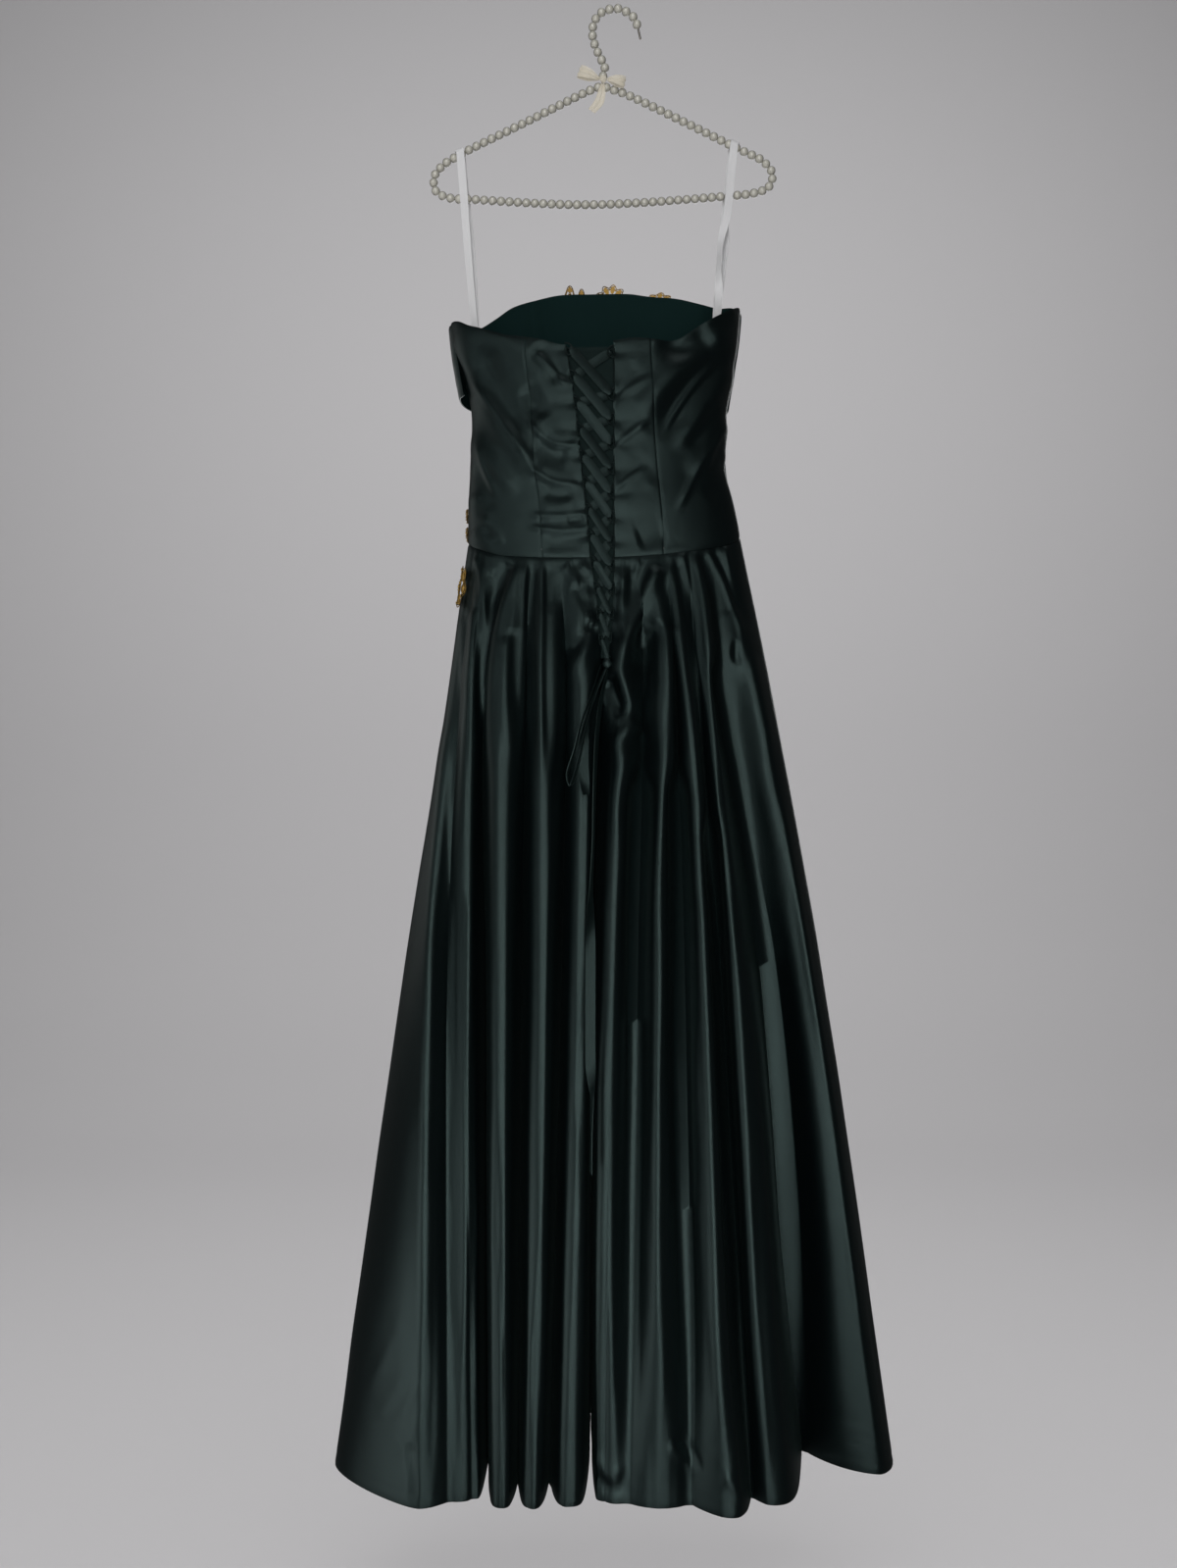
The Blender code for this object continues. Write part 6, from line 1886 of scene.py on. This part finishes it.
# The same at the hip, with degrees round the bodice in place of x
BODICE_HIP_MOTIFS = (
    ("hip_lace_1", 176.0, -573.0, 9.0, 8.0, 4, 0.3),
    ("hip_lace_2", 172.0, -594.0, 12.0, 9.0, 5, 0.8),
)

for seed, (name, x0, z0, *shape) in enumerate(NECKLINE_MOTIFS):

    def on_band(x, z, depth, x0=x0, z0=z0):
        angle = angle_at(x0 - x, np.full(np.shape(x), z0), False)
        return bodice_out(angle, z0 + z, band_outside(angle, z0 + z) + LAYER_GAP + depth)

    lace_motif(name, on_band, *shape, seed)
for seed, (name, degrees, z0, *shape) in enumerate(BODICE_HIP_MOTIFS):

    def on_bodice(x, z, depth, degrees=degrees, z0=z0):
        return bodice_out(math.radians(degrees) + x / 52.0, z0 + z, LAYER_GAP + depth)

    lace_motif(name, on_bodice, *shape, seed + 10)
print("bodice motifs:", len(NECKLINE_MOTIFS) + len(BODICE_HIP_MOTIFS))


# %% Lace on the skirt's left hip
def on_skirt(x, z, depth):
    """Points over the skirt round its left seam."""
    places = LEFT_SEAM + 0.9 + x / 42.0
    depth = depth + 4.0 * np.exp(-(((x - 4.0) / 15.0) ** 2))
    heights = 0.045 - z / (WAIST_BACK_Z - HEM_Z)
    points = []
    for place, height, lift in zip(places, heights, depth):
        near = skirt_grid(
            np.array([place - 0.03, place, place + 0.03]),
            np.array([height + 0.002, height, height - 0.002]),
        )
        points.append(near[1, 1] + grid_normals(near)[1, 1] * (LAYER_GAP + lift))
    return np.array(points)


lace_motif("hip_lace_3", on_skirt, 22.0, 25.0, 6, 0.5, 20)
print("skirt motif made")

# %% [markdown]
# ## Studio
#
# A plain pale floor that sweeps up behind the dress, and soft light. Satin shows its folds
# only by what it mirrors, so a tall, narrow light stands straight in front and draws one
# bright line down each ridge. A wide light above it, two low ones and two at the left fill in
# the rest. Light linking keeps the dress's lights off the backdrop, which has two of its own.
# Floor and backdrop aren't part of the dress.

# %% Floor and backdrop
FLOOR_Z = -1.79
HALF_WIDTH = 5.0
PALE_GREY = (0.62, 0.61, 0.62, 1.0)
profile = [(-4.0, FLOOR_Z), (1.2, FLOOR_Z), (1.8, FLOOR_Z + 0.06), (2.25, FLOOR_Z + 0.3),
           (2.45, FLOOR_Z + 0.75), (2.5, FLOOR_Z + 1.4), (2.5, FLOOR_Z + 4.5)]
profile = smooth_line([(0.0, y, z) for y, z in profile], 6)
points = [(x, y, z) for _, y, z in profile for x in (-HALF_WIDTH, HALF_WIDTH)]
faces = [(2 * k, 2 * k + 1, 2 * k + 3, 2 * k + 2) for k in range(len(profile) - 1)]
mesh = bpy.data.meshes.new("sweep")
mesh.from_pydata(points, [], faces)
sweep_finish, _, _ = new_finish(
    "pale_sweep", Base_Color=PALE_GREY, Roughness=0.9, Specular_IOR_Level=0.1
)
mesh.materials.append(sweep_finish)
mesh.shade_smooth()
sweep = bpy.data.objects.new("sweep", mesh)
bpy.context.scene.collection.objects.link(sweep)
sweep.visible_glossy = False
print("floor at", FLOOR_Z, "m")


# %% Lights
def lit_pieces(name, pieces):
    """Collection of the pieces that some lights are for."""
    collection = bpy.data.collections.new(name)
    for piece in pieces:
        collection.objects.link(piece)
    return collection


def soft_light(name, place, aim, size, power, tone, receivers):
    """Rectangular light that only its receivers see."""
    data = bpy.data.lights.new(name, "AREA")
    data.shape = "RECTANGLE"
    data.size, data.size_y = size
    data.energy = power
    data.color = tone
    obj = bpy.data.objects.new(name, data)
    obj.location = place
    direction = Vector(aim) - Vector(place)
    obj.rotation_euler = direction.to_track_quat("-Z", "Y").to_euler()
    obj.visible_camera = False
    obj.light_linking.receiver_collection = receivers
    bpy.context.scene.collection.objects.link(obj)
    return obj


WARM = (1.0, 0.99, 0.97)
dressed = [obj for obj in bpy.context.scene.objects if obj.type == "MESH" and obj is not sweep]
ON_DRESS = lit_pieces("lit_dress", dressed)
ON_TRIM = lit_pieces(
    "lit_trim", [obj for obj in dressed if obj.name.startswith(("hanger", "neckline", "hip_"))]
)
ON_BAND = lit_pieces("lit_band", [bpy.data.objects["bust_band_cloth"]])
ON_SWEEP = lit_pieces("lit_sweep", [sweep])
# Columns: name, place, point that it faces, width and height, power, tone, what it lights
LIGHTS = (
    ("key", (0.05, -2.5, -0.95), (-0.03, 0.0, -0.95), (0.6, 1.5), 11.5, WARM, ON_DRESS),
    ("upper", (-0.05, -2.5, 0.25), (-0.03, 0.0, -0.45), (2.4, 0.8), 3.0, WARM, ON_DRESS),
    ("low", (0.0, -1.10, -1.74), (-0.03, 0.0, -1.35), (0.3, 1.1), 3.1, WHITE, ON_DRESS),
    ("low_left", (-0.95, -0.55, -1.76), (-0.25, 0.0, -1.45), (0.6, 0.7), 2.0, WHITE, ON_DRESS),
    ("left", (-1.5, -1.9, -0.30), (-0.15, 0.0, -0.45), (0.5, 1.2), 4.0, WHITE, ON_DRESS),
    ("left_side", (-1.7, 0.4, -0.5), (-0.17, 0.0, -0.45), (1.6, 1.2), 2.5, WARM, ON_DRESS),
    ("top", (0.2, -0.2, 1.6), (0.0, 0.0, -0.6), (1.6, 1.2), 5.0, WHITE, ON_DRESS),
    ("front", (0.3, 1.9, -0.6), (0.0, 0.0, -0.7), (1.4, 2.0), 12.0, WHITE, ON_DRESS),
    ("trim_light", (-0.4, -1.8, 0.6), (0.0, 0.0, -0.2), (1.0, 1.0), 14.0, WHITE, ON_TRIM),
    ("band_light", (-0.9, 1.5, -0.5), (-0.17, 0.0, -0.42), (1.6, 1.2), 3.0, WHITE, ON_BAND),
    ("backdrop_light", (0.0, -0.4, 0.9), (0.0, 2.4, -0.7), (4.5, 2.5), 58.0, WHITE, ON_SWEEP),
    ("floor_light", (0.0, -1.2, 1.2), (0.0, 0.9, -1.8), (3.5, 2.0), 46.0, WHITE, ON_SWEEP),
)
for row in LIGHTS:
    light = soft_light(*row)
    if light.light_linking.receiver_collection == ON_SWEEP:
        light.light_linking.blocker_collection = ON_SWEEP
print("lights:", len(LIGHTS))

# %% World
world = bpy.data.worlds.new("studio")
bpy.context.scene.world = world
world.use_nodes = True
tree = world.node_tree
backdrop = tree.nodes["Background"]
backdrop.inputs["Color"].default_value = (0.42, 0.42, 0.43, 1.0)
dim = add(tree, "ShaderNodeBackground", Strength=0.05)
seen = tree.nodes.new("ShaderNodeLightPath")
choose = tree.nodes.new("ShaderNodeMixShader")
tree.links.new(seen.outputs["Is Camera Ray"], choose.inputs[0])
tree.links.new(dim.outputs[0], choose.inputs[1])
tree.links.new(backdrop.outputs[0], choose.inputs[2])
tree.links.new(choose.outputs[0], tree.nodes["World Output"].inputs["Surface"])
bpy.context.scene.view_settings.view_transform = "Standard"
print("studio set")

# %% Finish
print("scene built")
